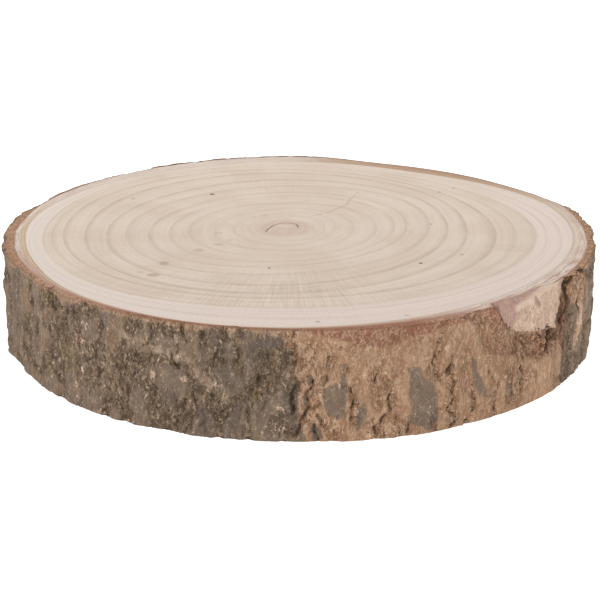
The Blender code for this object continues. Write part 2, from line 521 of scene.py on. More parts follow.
# The grey-brown outer bark: all of the left and back of the side, the far right, and patches at the front
WEATHERED_AREAS = (
    Patch((
        (267.2, 50.5), (267.2, 47), (267.7, 42), (269, 40.2), (269.3, 36), (268.8, 30), (270.3, 26.5),
        (269.9, 22), (269.6, 17), (269.7, 10), (269.9, 5.5), (271, 2.2), (271, -2), (176, -2), (176, 52),
        (267.2, 52),
    )),
    Patch(((177, -2), (82, -2), (81, 12), (85, 30), (87, 40), (83, 52), (177, 52)), edge=2.5),
    Patch(((76, 14), (77.5, 9), (74.5, 3), (72, 5), (73.5, 12)), edge=2.5),
    Patch((
        (324, 36), (326, 35.5), (328.8, 37), (330.5, 36), (333.6, 34.5), (336.2, 36.5), (337.5, 44),
        (338.5, 52), (376, 52), (377, 36), (381, 22), (378, -2), (326.5, -2), (325.6, 6), (325.2, 12),
        (325.3, 18), (324.2, 24),
    ), edge=2),
)

# Smooth grey patches on the tan bark, at the front and at the back right
SMOOTH_PATCHES = (
    Patch((
        (276.8, 30.3), (277.7, 30.3), (277.6, 23), (277.6, 12), (276.8, 10.5), (274.9, 11.5), (274, 16),
        (273.9, 23), (275, 25.5), (276.7, 27.2),
    ), edge=2),
    Patch((
        (280.8, 18), (281.2, 14), (281.1, 10), (280.3, 6), (279.5, 4), (279.3, 8), (279.6, 12), (280.2, 16),
    ), edge=2),
    Patch((
        (288.1, 31), (290.3, 31), (290.9, 26.7), (292.1, 23.9), (293.1, 21.7), (293.7, 17.4), (293.8, 10.3),
        (294.2, 6), (293.6, 3), (292.6, 1), (291.4, 2.4), (290.8, 3.7), (289.1, 4.7), (288.4, 8.9),
        (288.9, 13), (288.3, 18.9), (288.3, 24.6), (288.6, 27.4),
    ), edge=2.4),
    Patch((
        (300.8, 30.5), (301.6, 29), (302.1, 23), (303.4, 17), (304.8, 9.5), (303.8, 9.6), (302.2, 14.5),
        (301.2, 19), (300.9, 24),
    ), edge=2),
    Patch(((272.3, 9), (273.9, 1.5), (272, 0), (271.7, 6)), edge=1.6),
    *spots(
        (308.9, 15, 0.9, 6.5, 0.9), (310.4, 11, 0.8, 7, 0.9), (316.9, 11, 1, 4.5, 0.6),
        (271.6, 28.2, 1.5, 2.6, 0.9), (312.9, 13.5, 1.2, 4.5, 0.6), (321.6, 10, 0.9, 5, 0.6),
        (302, 36, 1.6, 5, 0.35), (271, 18, 1.4, 7, 0.6), (29, 31, 2.4, 9, 0.9), (46.5, 15, 2.8, 8, 0.9),
        (51, 36, 1.4, 7, 0.8), (66, 33, 3, 11, 0.9),
    ),
)

# Where the bark is rough besides the strips along the cracks
ROUGH_AREAS = (
    Patch((
        (299.6, 49.5), (301.4, 43), (303, 33.5), (304.5, 29.8), (306.5, 28.1), (309, 26.1), (311, 25),
        (313.4, 21.5), (317.5, 18.5), (321.5, 20), (323.5, 26), (323, 31), (318, 32), (313.9, 33.8),
        (310.8, 36.4), (308.6, 40.5), (306, 44), (303, 49),
    ), edge=2),
    *spots(
        (36, 20, 6, 15, 0.8), (57, 32, 7, 13, 0.8), (73, 18, 6, 12, 0.8), (283.5, 20, 4.5, 10, 0.8),
        (283, 5.5, 9, 5.5, 0.85), (274, 7, 8, 7, 0.8), (296.5, 14, 5.5, 15, 0.75), (306, 12, 5, 9, 0.7),
        (313.4, 12, 4, 8, 0.6), (272, 34, 4, 9, 0.75), (231, 20, 20, 16, 0.95), (222, 26, 10, 20, 0.8),
        (257, 39, 3, 9, 0.8), (251.5, 26, 3, 9, 0.8), (243.5, 12, 5, 10, 0.85), (262.5, 24, 5, 7, 0.85),
        (266.5, 9, 5, 8, 0.8), (294, 44, 3, 3, 0.5), (284, 45, 16, 4, 0.5), (330, 14, 12, 16, 0.7),
        (333.5, 49, 4, 3, 0.8),
    ),
)

# Bluish bark
BLUE_AREAS = spots(
    (257, 24, 17, 34, 0.55), (264.6, 38, 11, 13, 0.9), (257, 46, 9, 5, 0.7), (226.5, 45.5, 3.2, 4),
    (226.8, 38, 1.8, 4.5), (249, 31, 6, 6, 0.7), (240.5, 28, 5, 6, 0.5), (268.3, 16, 3.6, 14, 0.8),
    (247, 16, 5, 6, 0.6), (233.5, 46, 6, 3, 0.5), (255, 8, 6, 6, 0.5), (203, 30, 9, 18, 0.4),
)

# Lighter bark
PALE_AREAS = (
    Crack(((238.5, 40), (243, 37), (250, 34), (254, 26), (257, 19)), 1.5, 0.9),
    Crack(((243.5, 49.5), (243.5, 42), (243.1, 38)), 0.5, 0.9), Crack(((259, 49), (258, 42)), 0.6, 0.8),
    *spots(
        (336, 28, 17, 26), (334, 10, 11, 16), (230, 20, 22, 18, 0.55), (212, 25, 22, 28, 0.35),
        (318, 8, 14, 12, 0.45), (317.5, 26, 7.5, 9, 0.6), (305, 38, 6, 13, 0.35),
    ),
)

# Height of the golden strip that the rubbed bark leaves under the upper edge
BRIM_HEIGHT = RoundCurve((
    (0, 1.5), (90, 1.5), (170, 1.5), (200, 2), (216, 3), (224, 3.6), (232, 2.6), (244, 3.2), (249, 2.2),
    (256, 3.6), (260, 2.4), (265, 4.2), (268, 4.5), (272, 1), (330, 1), (345, 1.5),
))

# Cracks of the back right, then of the front and right, then of the left
CRACKS = (
    Crack(((33, 44), (32, 36), (33.6, 28), (32.4, 19))), Crack(((52, 30), (53.2, 20), (51.6, 8))),
    Crack(((60, 48), (58.8, 38), (60.6, 29))), Crack(((70, 24), (68.8, 14), (70.6, 3))),
    Crack(((38.4, 16), (39.6, 9), (38.6, 1))), Crack(((75, 42), (74, 34), (75.4, 28))),
    Crack(((269, 49), (268.6, 47), (268.9, 43), (269.4, 40), (269.3, 32.5), (269.1, 24.5))),
    Crack(((269.1, 24.5), (268.6, 21.7), (268.7, 17.4), (268.9, 13)), 1.2),
    Crack(((270.3, 38.9), (270.5, 35.3), (270.3, 32.4)), 0.5, 0.8),
    Crack(((272.4, 27.6), (271.7, 24), (271.1, 21), (271.3, 17.4), (271.7, 15)), 0.95),
    Crack(((271.6, 15), (271.2, 13.1), (270.3, 9.6), (270, 6), (269.6, 3.1)), 1),
    Crack(((272.5, 27), (272.8, 22), (272.3, 19), (272.7, 16)), 0.5, 0.8),
    Crack(((275.1, 38), (274.5, 34.6), (274.3, 30.3), (274.4, 27.4), (273.9, 24.6)), 0.65),
    Crack(((278.7, 27.4), (278.4, 24.6), (278.8, 21), (279, 16), (278.5, 12.4), (278.4, 8.9)), 0.8),
    Crack(((283.1, 29.6), (282.9, 28), (282.6, 26)), 0.65, 0.9),
    Crack(((284.8, 23.9), (285, 20.3), (285.1, 16), (285.1, 11.7)), 0.85),
    Crack(((284.1, 10.5), (283.7, 7.4), (282.7, 4.8), (283.1, 2.5)), 0.9),
    Crack(((285.3, 11.3), (286, 8)), 0.6, 0.8), Crack(((272.3, 7.4), (272.8, 3.1), (273.1, 0.6)), 0.9),
    Crack(((273, 11.7), (273.5, 9), (274.1, 6.5)), 0.9), Crack(((276.8, 33), (277.9, 31.9)), 0.6, 0.9),
    Crack(((275.4, 8.5), (275.9, 4), (275.6, 0.5)), 0.6, 0.7), Crack(((288.6, 6), (288.2, 1.5)), 0.7, 0.9),
    Crack(((287, 5), (287.3, 0.8)), 0.6, 0.8),
    Crack(((293.7, 40.6), (293.6, 38.9), (293, 35.3), (292.8, 29.6), (293.3, 26.7), (294.1, 24.9)), 0.75),
    Crack(((296.7, 32.4), (296.8, 30.3), (296, 27.4), (295.8, 25.3)), 1),
    Crack(((296.3, 26), (296.7, 22.4), (297, 20.3), (296.8, 16.7), (297.3, 13.9), (296.6, 11)), 0.95),
    Crack(((296.6, 11), (296, 8.9), (297.4, 5.3), (297.3, 2.4), (296.8, 0.8)), 0.9),
    Crack(((293.8, 11), (295.7, 10.3)), 0.5, 0.7), Crack(((293.4, 6), (293.9, 1)), 0.8, 0.9),
    Crack(((299, 33.1), (299.1, 30.3), (299.7, 26.7)), 0.45, 0.7),
    Crack(((301.1, 15.3), (301.5, 11.7), (302, 8.1), (301.4, 5.3), (300.3, 2.4), (299.6, 0.6)), 0.75),
    Crack(((307.1, 13.7), (306.4, 10.3), (306.3, 6.7), (306.3, 2.4)), 0.7),
    Crack(((309.6, 16.5), (310, 12), (310.1, 5)), 0.55, 0.8),
    Crack(((312.7, 19.6), (313.4, 14.6), (312.8, 10.3), (312.7, 8.1)), 0.8),
    Crack(((312.1, 12.3), (313.3, 14.2)), 0.6, 0.8),
    Crack(((328.6, 50.5), (327, 46.5), (325.9, 41), (325, 35), (323.6, 31.2)), 0.8),
    Crack(((321.5, 31.5), (321.9, 26.8), (321.2, 24.5), (320.5, 21)), 1.2),
    Crack(((318, 30.5), (319.2, 27.5), (318.2, 24.8)), 0.8, 0.9),
    Crack(((244.1, 46.7), (243.9, 41.5), (243.3, 38.6), (242, 36.7)), 0.9),
    Crack(((239.1, 19), (239, 11.7), (238.8, 6)), 0.8), Crack(((253.6, 47.4), (253.7, 43.9)), 0.7),
    Crack(((256, 38.2), (255.5, 35.5), (255.3, 31.5)), 0.9),
    Crack(((255.2, 22.4), (255.4, 17.4), (255, 14)), 0.7, 0.9),
    Crack(((255.4, 13), (256.1, 9.6), (258.3, 16)), 0.6, 0.9), Crack(((263.3, 28.5), (262.9, 24.6)), 0.8),
    Crack(((259.8, 41), (259.6, 35), (260.2, 31)), 0.8, 0.9),
    Crack(((251.2, 18), (251.9, 14.5), (250.8, 4)), 0.6, 0.8), Crack(((244.2, 8), (243.9, 1.5)), 0.6, 0.8),
    Crack(((213.9, 30), (213, 25.5)), 0.9), Crack(((224, 40), (223.9, 34)), 0.7),
)

# Small pits and thin gashes
PITS = (
    Crack(((329.2, 49.6), (327.6, 46.5), (327, 42), (326.4, 37.5), (325, 32)), 0.22, 0.72),
    Crack(((321.6, 30), (321.3, 26.5), (320.4, 21.5)), 0.45, 0.85),
    Crack(((332.6, 50.2), (334.8, 48.4), (335.8, 46), (335.5, 42)), 0.45, 0.85),
    Crack(((333, 41), (332.4, 35), (333.2, 30)), 0.3, 0.8), Crack(((337.4, 46), (338, 32)), 0.3, 0.8),
    *spots(
        (317, 33, 0.8, 0.9, 0.9), (320.4, 31.6, 0.8, 1, 0.9), (318.4, 28.4, 0.7, 1.2, 0.8),
        (317.8, 24.6, 0.9, 1.2, 0.8), (312.2, 32, 1.2, 1.2, 0.85), (314.6, 30.4, 0.7, 1.3, 0.8),
        (322.6, 25, 0.5, 2, 0.8), (331.2, 49.4, 1.4, 1.5, 1), (304.7, 21.7, 0.8, 0.7),
        (305.7, 18.1, 0.8, 0.7), (312, 32.9, 1.3, 1.2), (318, 32.3, 1.4, 0.9), (317.3, 19.9, 0.9, 0.7),
        (315.4, 23, 1.2, 0.9, 0.8), (321, 31.9, 1.1, 1.2), (309.3, 39.4, 1.3, 1.3, 0.7),
        (327.4, 45.2, 0.8, 2.2, 0.8), (335.2, 45, 0.9, 3.4, 0.9), (276.9, 41.8, 0.8, 0.7, 0.7),
        (334.3, 5, 1.1, 2.8, 0.8), (313.9, 34.6, 1.6, 0.6, 0.7), (328.3, 42.2, 0.6, 1.6, 0.9),
        (325.6, 42.4, 0.5, 1.6, 0.8),
    ),
)

# The splintered bark below the scar
SPLINTERED = Patch((
    (311.4, 34.4), (313.9, 33.8), (318.4, 31.6), (322.5, 30.6), (323.4, 26), (321.5, 20.5), (317.5, 18.8),
    (313.6, 21.5), (310.6, 26),
), edge=2.4)

# Reddish inner bark: the band under the upper edge of the front, and the lobe left of the scar
RED_AREAS = (
    Patch((
        (270.5, 51), (271.5, 48.6), (274, 47.4), (278, 44.4), (279.4, 41.4), (281, 43.2), (283, 41.2),
        (286, 42.6), (289, 45), (293, 45.7), (295, 47.6), (298, 46.8), (300.5, 48.4), (301, 53), (270.5, 53),
    ), edge=2.2),
    Patch((
        (299.6, 48.5), (301.4, 43), (303, 33.5), (304.5, 29.8), (306.5, 28.1), (309, 26.1), (310.3, 25.8),
        (310.8, 29), (311.4, 34), (309.3, 39.6), (307.4, 49), (305, 53), (300, 53),
    ), edge=1.8, strength=0.4),
    replace(SPLINTERED, strength=0.5),
    Patch((
        (302.5, 53.5), (325, 53.5), (325.2, 50.6), (318.2, 48.2), (312.6, 45.8), (311.9, 40.6), (310.6, 36.5),
        (307.8, 39), (305.5, 44),
    ), edge=1.7),
    Patch((
        (325.6, 52), (327.8, 52), (325.6, 41), (323.4, 31), (322.4, 31.5), (324, 42),
    ), edge=1.6, strength=0.45),
    *spots(
        (278.5, 19, 2.6, 3.6, 0.5), (286.5, 29, 2.6, 3, 0.55), (283, 14, 4, 8, 0.4),
        (286.4, 15, 3.2, 8, 0.45), (274.2, 43, 3, 3.2, 0.35), (300.2, 38.5, 2.5, 3, 0.4),
        (300, 19, 2.2, 2.4, 0.45), (288.5, 2.2, 3, 1.8, 0.5), (301.6, 4, 4, 2.2, 0.35),
    ),
)

# The bare wood of the scar
SCAR_AREA = Patch((
    (305.6, 52.5), (307.2, 49), (308.9, 40.5), (310.9, 36.4), (314.1, 33.8), (318, 32), (322.9, 29.8),
    (324.5, 35), (326, 41.5), (327.7, 49.8), (328.2, 52.5),
), edge=1.2)

# Dark torn wood: the broken wall right of the scar and the splintered bark below it
TORN_AREAS = (
    Patch((
        (328, 52.5), (326.5, 45), (325, 37), (323.2, 30.5), (321, 28.5), (321.8, 24), (324, 23.5),
        (324.9, 19.5), (325.6, 16.8), (326.6, 19.6), (327.8, 24), (328, 30), (328.4, 36), (327.4, 42.5),
        (328, 46.5), (329.2, 49), (331, 52.5),
    ), edge=1.2),
    Crack(((317.5, 46.8), (318.6, 43)), 0.5, 0.4),
    *spots(
        (307.6, 45.8, 1.6, 3.9, 0.9), (314.6, 42, 1, 0.8, 0.6), (318.4, 50.9, 1, 0.9, 0.5),
    ),
)

# Olive bark
OLIVE_AREAS = spots(
    (219.7, 44, 3, 7, 0.9), (224.2, 18, 4.5, 13, 0.75), (262.3, 20, 3, 4, 0.6), (333, 20, 7, 9, 0.5),
    (206, 30, 8, 12, 0.4), (345, 14, 9, 12, 0.5), (236, 40, 5, 6, 0.35), (243.3, 33, 1.6, 2.4, 0.7),
    (326.9, 43, 2, 2.9, 0.9), (217.6, 8, 4, 6, 0.6), (269.2, 28, 1.8, 3, 0.5),
)

# Chips of orange-pink inner bark that show through the grey, and first a painted highlight along the ridge of
# the scar
CHIPS_AND_RIDGE_HIGHLIGHT = (
    # A painted highlight along the scar's ridge, laid on as pale wood
    Crack(((312.4, 45.2), (315.4, 46.4), (318.6, 48), (321.8, 49.6), (325.8, 50.8)), 0.4, 0.8),
    Crack(((333.7, 36), (333.8, 27), (332.8, 19.6), (331, 14.8)), 1.7, 0.8),
    *spots(
        (244.1, 24.6, 2.1, 2.2), (250.1, 25, 2.2, 2, 0.9), (248.8, 43.5, 1.8, 1.7, 0.9),
        (248, 49, 2.6, 1.6, 0.9), (249.4, 36, 1.9, 1.9, 0.7), (244.3, 36.7, 1.5, 2.4, 0.7),
        (251.6, 11.7, 0.8, 3.4), (229.7, 40.5, 3, 2.2, 0.7), (228.7, 31.5, 2.8, 2, 0.7),
        (228, 17, 2.4, 2.4, 0.7), (226.2, 9, 1.6, 3.2, 0.7), (263.2, 23, 0.7, 1.7),
        (266.6, 14.5, 2.6, 2.2, 0.7), (266.8, 5.5, 2.8, 2.2, 0.8), (265.6, 48.6, 3.2, 1.4, 0.9),
        (260.6, 49, 2.6, 1.6, 0.8), (253.5, 49.8, 3.4, 1.2, 0.8), (256.5, 1.2, 4, 0.9, 0.7),
        (232.4, 1.2, 4, 0.9, 0.8), (239.5, 1, 3, 0.7, 0.8), (326.9, 42.8, 1, 1.9),
    ),
)


@dataclass
class FormedMesh:
    """A closed mesh that is built as rows of points round the slice.

    Attributes:
        name: The piece's name.
        points: An array of shape (points, 3), row by row, in millimetres.
        faces: Corner numbers of each face.
        masks: Vertex attributes by name, one value for each point.
    """

    name: str
    points: Array
    faces: list[tuple[int, ...]]
    masks: dict[Mask, Array] = field(default_factory=dict)

    def to_object(self) -> bpy.types.Object:
        """Write the mesh, in metres, as a smooth-shaded object in the scene.

        Returns:
            The new object.
        """
        low, high = (np.array(corner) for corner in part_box(NODE))
        mesh = bpy.data.meshes.new(self.name)
        mesh.from_pydata(np.clip(self.points * MM, low, high).tolist(), [], self.faces)
        mesh.shade_smooth()
        for mask, values in self.masks.items():
            layer = mesh.attributes.new(mask.value, "FLOAT", "POINT")
            layer.data.foreach_set("value", values.astype(np.float32))
        mesh.update()
        piece = bpy.data.objects.new(self.name, mesh)
        bpy.context.scene.collection.objects.link(piece)
        return piece


def loop_faces(columns: int, rows: Sequence[int]) -> list[tuple[int, ...]]:
    """Faces between neighbouring rows of points, where each row is a closed loop.

    Args:
        columns: Points in each row.
        rows: Row numbers in order; each row is joined to the next.

    Returns:
        The corner numbers of each face.
    """
    faces = []
    for low, high in zip(rows, rows[1:]):
        for column in range(columns):
            following = (column + 1) % columns
            faces.append((
                low * columns + column, low * columns + following,
                high * columns + following, high * columns + column,
            ))
    return faces


def around(radius: Array, degrees: Array, centre: Point = (0.0, 0.0)) -> Array:
    """Plan positions at a distance and an angle from a centre.

    Args:
        radius: Distances from the centre.
        degrees: Angles.
        centre: The centre.

    Returns:
        An array of (x, y) positions.
    """
    turn = np.radians(degrees)
    return np.stack((centre[0] + radius * np.cos(turn), centre[1] + radius * np.sin(turn)), axis=-1)


def cambium_plan(degrees: Array) -> Array:
    """Plan positions along the cambium line, at angles seen from the pith."""
    return around(CAMBIUM.at(degrees), degrees, PITH)


@dataclass(frozen=True)
class Relief:
    """The relief of the bark's side, with one value for each place.

    Attributes:
        depth: The whole depth below the rim.
        cracks: How near a crack is, 1 on its sides.
        rough: Share of rough bark.
        flakes: Share of the raised flakes.
        hollow: Share of the fine hollows, which the finish darkens as painted shade.
    """

    depth: Array
    cracks: Array
    rough: Array
    flakes: Array
    hollow: Array


@dataclass
class BarkRing:
    """The bark: its rough side, and its cut edge on both sawn faces.

    Attributes:
        columns: Points round the slice.
        side_rows: Faces up the side.
        inner_rows: Faces across the inner bark on the upper face.
        outer_rows: Faces across the outer bark on the upper face.
        under_rows: Faces across the bark on the underside.
        crack_depth: Depth of the strongest crack.
        random_cracks: Short cracks drawn over the coarse bark.
        random_flakes: Small raised flakes drawn over the coarse bark.
    """

    columns: int = 1440
    side_rows: int = 54
    inner_rows: int = 4
    outer_rows: int = 4
    under_rows: int = 4
    crack_depth: float = 1.5
    random_cracks: int = 620
    random_flakes: int = 620

    def drawn_cracks(self) -> list[Crack]:
        """Draw short upright cracks over the coarse bark.

        Returns:
            The cracks, the same in every run.
        """
        draw = np.random.default_rng(SEED + 21)
        cracks = []
        while len(cracks) < self.random_cracks:
            angle = draw.uniform(0.0, 360.0)
            length = draw.uniform(2.0, 9.0)
            top = draw.uniform(length * 0.4, THICKNESS + 2.0)
            lean = draw.uniform(-0.12, 0.12, 2) * length
            half_width = draw.uniform(0.1, 0.55)
            strength = draw.uniform(0.6, 1.0)
            if ROUGHNESS.at(np.array([angle]))[0] < draw.uniform(0.3, 0.8):
                continue
            line = ((angle, top), (angle + lean[0], top - length / 2.0), (angle + lean[1], top - length))
            cracks.append(Crack(line, half_width, strength))
        return cracks

    def drawn_flakes(self) -> list[Spot]:
        """Draw small flakes that stand out of the coarse bark.

        Returns:
            The flakes, the same in every run.
        """
        draw = np.random.default_rng(SEED + 22)
        flakes = []
        while len(flakes) < self.random_flakes:
            angle = draw.uniform(0.0, 360.0)
            height = draw.uniform(0.0, THICKNESS)
            if ROUGHNESS.at(np.array([angle]))[0] < 0.6:
                continue
            size = draw.uniform(0.5, 1.3)
            flakes.append(Spot(angle, height, size, size * draw.uniform(1.0, 2.2), draw.uniform(0.4, 1.0)))
        return flakes

    def relief(self, places: Places) -> Relief:
        """Work out the relief of the side.

        Args:
            places: Where to work it out.

        Returns:
            The relief at each place.
        """
        coarse = np.clip(ROUGHNESS.at(places.degrees), 0.0, 1.0)
        scar = SCAR.share(places)
        bent = places.moved(Grain(300, 20, 30).shift(places, 0.6))
        turned = places.moved(Grain(150, 9, 31).shift(places, 1.6))
        strayed = turned.moved(0.0, Grain(120, 7, 32).shift(places, 5.0))

        placed = strongest(CRACKS, bent) - 0.3 * Grain(460, 24, 39).at(places)
        drawn = strongest(self.drawn_cracks(), turned) - 0.6 * (1.0 - coarse)
        near = np.maximum(np.maximum(placed, drawn), 1.7 * strongest(PITS, places))
        rough = self.rough(places, turned, strayed) * (1.0 - scar)
        flakes = strongest(self.drawn_flakes(), strayed) * coarse
        plates = 1.5 * Grain(96, 3, 1).furrows(places) + 0.9 * Grain(38, 4, 2).at(places)
        fine = 0.5 * Grain(230, 10, 34).furrows(strayed)
        fine = fine + 0.5 * Grain(460, 22, 35).furrows(strayed)
        fine = fine + 0.5 * Grain(720, 44, 36).at(places)
        crumbled = 0.4 + 0.9 * Grain(700, 34, 33).at(places)
        splinters = Grain(420, 16, 37).furrows(strayed)

        steady = 1.0 - 0.55 * fade(10.0, 0.0, places.height)
        depth = coarse * (plates - 0.75) * steady + (0.14 + 0.85 * rough) * fine * (1.0 - 0.7 * scar)
        depth = depth * (1.0 - 0.6 * scar) + 0.3 * rough - 0.4 * flakes
        depth = depth + self.crack_depth * fade(0.8, 1.2, near) * crumbled
        depth = depth + np.maximum(SCAR.depth(places), LOBE.depth(places))
        depth = depth + 2.6 * SPLINTERED.at(places) * splinters
        depth = depth + self.chips(places) * coarse
        return Relief(np.maximum(depth, -0.5), near, rough, flakes, fine / 1.5)

    def rough(self, places: Places, turned: Places, strayed: Places) -> Array:
        """Share of rough bark: strips along the cracks, drawn areas, and winding strips over the coarse bark.

        Args:
            places: Where to read it.
            turned: The places moved a little round the slice, unevenly.
            strayed: The same moved a little up or down as well.

        Returns:
            1 where the bark is rough, 0 on smooth plates.
        """
        beside = np.full_like(places.degrees, FAR)
        for crack in CRACKS:
            beside = np.minimum(beside, crack.away(turned))
        strips = 0.9 * (1.0 - fade(0.5, 4.5, beside + Grain(200, 12, 41).shift(places, 4.0)))
        coarse = np.clip(ROUGHNESS.at(places.degrees), 0.0, 1.0)
        winding = fade(0.3, 0.8, Grain(64, 4, 42).furrows(strayed)) * coarse
        return np.maximum(np.maximum(strips, strongest(ROUGH_AREAS, strayed)), winding)

    def chips(self, places: Places) -> Array:
        """Work out the chips broken out along the upper and lower edge.

        Args:
            places: Where to work them out.

        Returns:
            Their depth at each place.
        """
        near_top = fade(THICKNESS - 4.0, THICKNESS, places.height)
        near_foot = fade(3.5, 0.0, places.height)
        large = fade(0.55, 0.95, Grain(110, 1, 4).at(places))
        small = fade(0.5, 0.95, Grain(420, 1, 38).at(places))
        return (0.6 * near_top + 0.35 * near_foot) * (1.1 * large + 0.7 * small)

    def side(self) -> tuple[Array, dict[Mask, Array]]:
        """Form the side.

        Returns:
            Its points and masks, row by row from the underside up.
        """
        degrees = np.tile(np.arange(self.columns) * 360.0 / self.columns, self.side_rows + 1)
        height = np.repeat(np.linspace(0.0, THICKNESS, self.side_rows + 1), self.columns)
        places = Places(degrees, height)
        behind = places.moved(np.where(degrees < 180.0, Grain(80, 9, 43).shift(places, 9.0), 0.0))
        relief = self.relief(places)
        plan = around(RIM_RADIUS.at(degrees) - relief.depth, degrees)
        masks = {
            Mask.WEATHERED: strongest(WEATHERED_AREAS, behind),
            Mask.SMOOTH: strongest(SMOOTH_PATCHES, behind),
            Mask.ROUGH: relief.rough,
            Mask.BLUE: strongest(BLUE_AREAS, places),
            Mask.BRIM: fade(-1.4, 0.0, (height - THICKNESS) / BRIM_HEIGHT.at(degrees)),
            Mask.FISSURE: relief.cracks,
            Mask.RED: strongest(RED_AREAS, places),
            Mask.BARE: SCAR_AREA.at(places),
            Mask.OLIVE: strongest(OLIVE_AREAS, places),
            # Chips, and the painted highlight along the scar's ridge
            Mask.CHIP_AND_RIDGE_HIGHLIGHT: np.maximum(strongest(CHIPS_AND_RIDGE_HIGHLIGHT, places), 0.55 * relief.flakes),
            Mask.TORN: strongest((*TORN_AREAS, replace(SPLINTERED, strength=0.2)), places),
            Mask.PALE: strongest(PALE_AREAS, places),
            # Feeds the painted shade in the fine hollows
            Mask.HOLLOW_SHADE: relief.hollow,
        }
        return np.column_stack((plan, height)), masks

    def build(self) -> FormedMesh:
        """Build the bark as one closed ring.

        Returns:
            The mesh with its masks.
        """
        columns = self.columns
        degrees = np.arange(columns) * 360.0 / columns
        points, masks = self.side()
        foot = points[:columns]
        brim = points[-columns:]
        inner = cambium_plan(degrees)
        outer_start = OUTER_BARK.at(degrees)
        rows = [points]
        layers = [np.full(len(points), 2.0)]
        edge_row = np.full(columns, 0.5)
        cuts = [edge_row, np.zeros(len(points) - 2 * columns), edge_row]

        def cut_row(edge: Array, level: float, layer: float, draw: int) -> None:
            """Add one row across the cut bark.

            Args:
                edge: The row of points at the rim.
                level: Height of the face.
                layer: 0 at the cambium, 1 where the outer bark begins, 2 at the rim.
                draw: Number of the seeded draw that crumbles it.
            """
            inner_radius = np.hypot(inner[:, 0], inner[:, 1])
            edge_radius = np.hypot(edge[:, 0], edge[:, 1])
            split = np.clip((outer_start - inner_radius) / (edge_radius - inner_radius), 0.12, 0.96)
            share = split * layer if layer < 1.0 else split + (1.0 - split) * (layer - 1.0)
            plan = inner + (edge[:, :2] - inner) * share[:, None]
            crumbs = Grain(480, 2, draw).at(Places(degrees, np.full(columns, THICKNESS / 2.0)))
            crumble = 0.45 * crumbs * fade(0.9, 1.6, layer)
            height = level + (crumble if level == 0.0 else -crumble)
            rows.append(np.column_stack((plan, height)))
            layers.append(np.full(columns, layer))
            cuts.append(np.ones(columns))

        for step in range(1, self.outer_rows + 1):
            cut_row(brim, THICKNESS, 2.0 - step / self.outer_rows, 50 + step)
        for step in range(1, self.inner_rows + 1):
            cut_row(brim, THICKNESS, 1.0 - step / self.inner_rows, 60 + step)
        for step in range(self.under_rows):
            cut_row(foot, 0.0, 2.0 * step / self.under_rows, 70 + step)
        everything = np.concatenate(rows)
        total_rows = len(everything) // columns
        for mask, values in masks.items():
            cut_values = np.tile(values[-columns:], total_rows - self.side_rows - 1)
            masks[mask] = np.concatenate((values, cut_values))
        masks[Mask.LAYER] = np.concatenate(layers)
        masks[Mask.CUT] = np.concatenate(cuts)
        for mask, curve in ((Mask.TAN_CUT, TAN_CUT), (Mask.RED_CUT, RED_CUT), (Mask.FIBRE_CUT, FIBRE_CUT)):
            masks[mask] = np.tile(curve.at(degrees), total_rows)
        return FormedMesh("bark", everything, loop_faces(columns, [*range(total_rows), 0]), masks)


@dataclass(frozen=True)
class GrowthRing:
    """One dark line of a growth ring.

    Attributes:
        strength: How dark the line is, from 0 to 1.
        radii: Its distance from the pith at 0, 45, 90 ... 315 degrees.
    """

    strength: float
    radii: tuple[float, ...]

    def at(self, degrees: Array) -> Array:
        """Distance of the line from the pith at each angle."""
        return RoundCurve(tuple((45.0 * step, radius) for step, radius in enumerate(self.radii))).at(degrees)


# The dark lines of the growth rings, from the pith outwards
GROWTH_RINGS = (
    GrowthRing(0.2, (11, 12, 13, 12, 11.5, 13.5, 15, 13)),
    GrowthRing(0.25, (19.5, 22.5, 21.5, 18.8, 18.3, 19.5, 21, 21.5)),
    GrowthRing(0.3, (25, 27.8, 26.8, 24, 25.5, 27, 27.7, 25)),
    GrowthRing(0.45, (33.8, 36.3, 34.7, 32.7, 34.5, 37.8, 37, 34.3)),
    GrowthRing(0.35, (45.2, 47.7, 45.5, 46, 47.2, 49, 45, 44.8)),
    GrowthRing(0.45, (54, 59, 59, 54.2, 56.5, 59.5, 53.3, 50.7)),
    GrowthRing(0.65, (59.8, 66.8, 65.7, 62.2, 66.3, 69.2, 59.8, 56.8)),
    GrowthRing(0.5, (71.2, 80.2, 79.3, 75.2, 78, 79, 72, 68.3)),
    GrowthRing(0.8, (80.2, 88.5, 90.5, 86.3, 86.8, 90.5, 86.8, 80.3)),
    GrowthRing(0.8, (89.3, 98.2, 105.2, 102.9, 97.9, 100.8, 97.7, 91.8)),
    GrowthRing(0.9, (103, 104.5, 113, 113, 108.7, 107.3, 103.5, 105)),
    GrowthRing(0.35, (113, 110.5, 117.2, 117.2, 114, 113.2, 109.6, 112.5)),
    GrowthRing(0.5, (122.5, 116.7, 121, 121, 118, 118.7, 115.3, 118.5)),
    GrowthRing(0.35, (128.2, 122, 124.2, 123.8, 121.4, 123.4, 120.9, 124.5)),
    GrowthRing(0.3, (134.8, 126.4, 126.8, 125.6, 124.2, 127.6, 130, 132.4)),
)


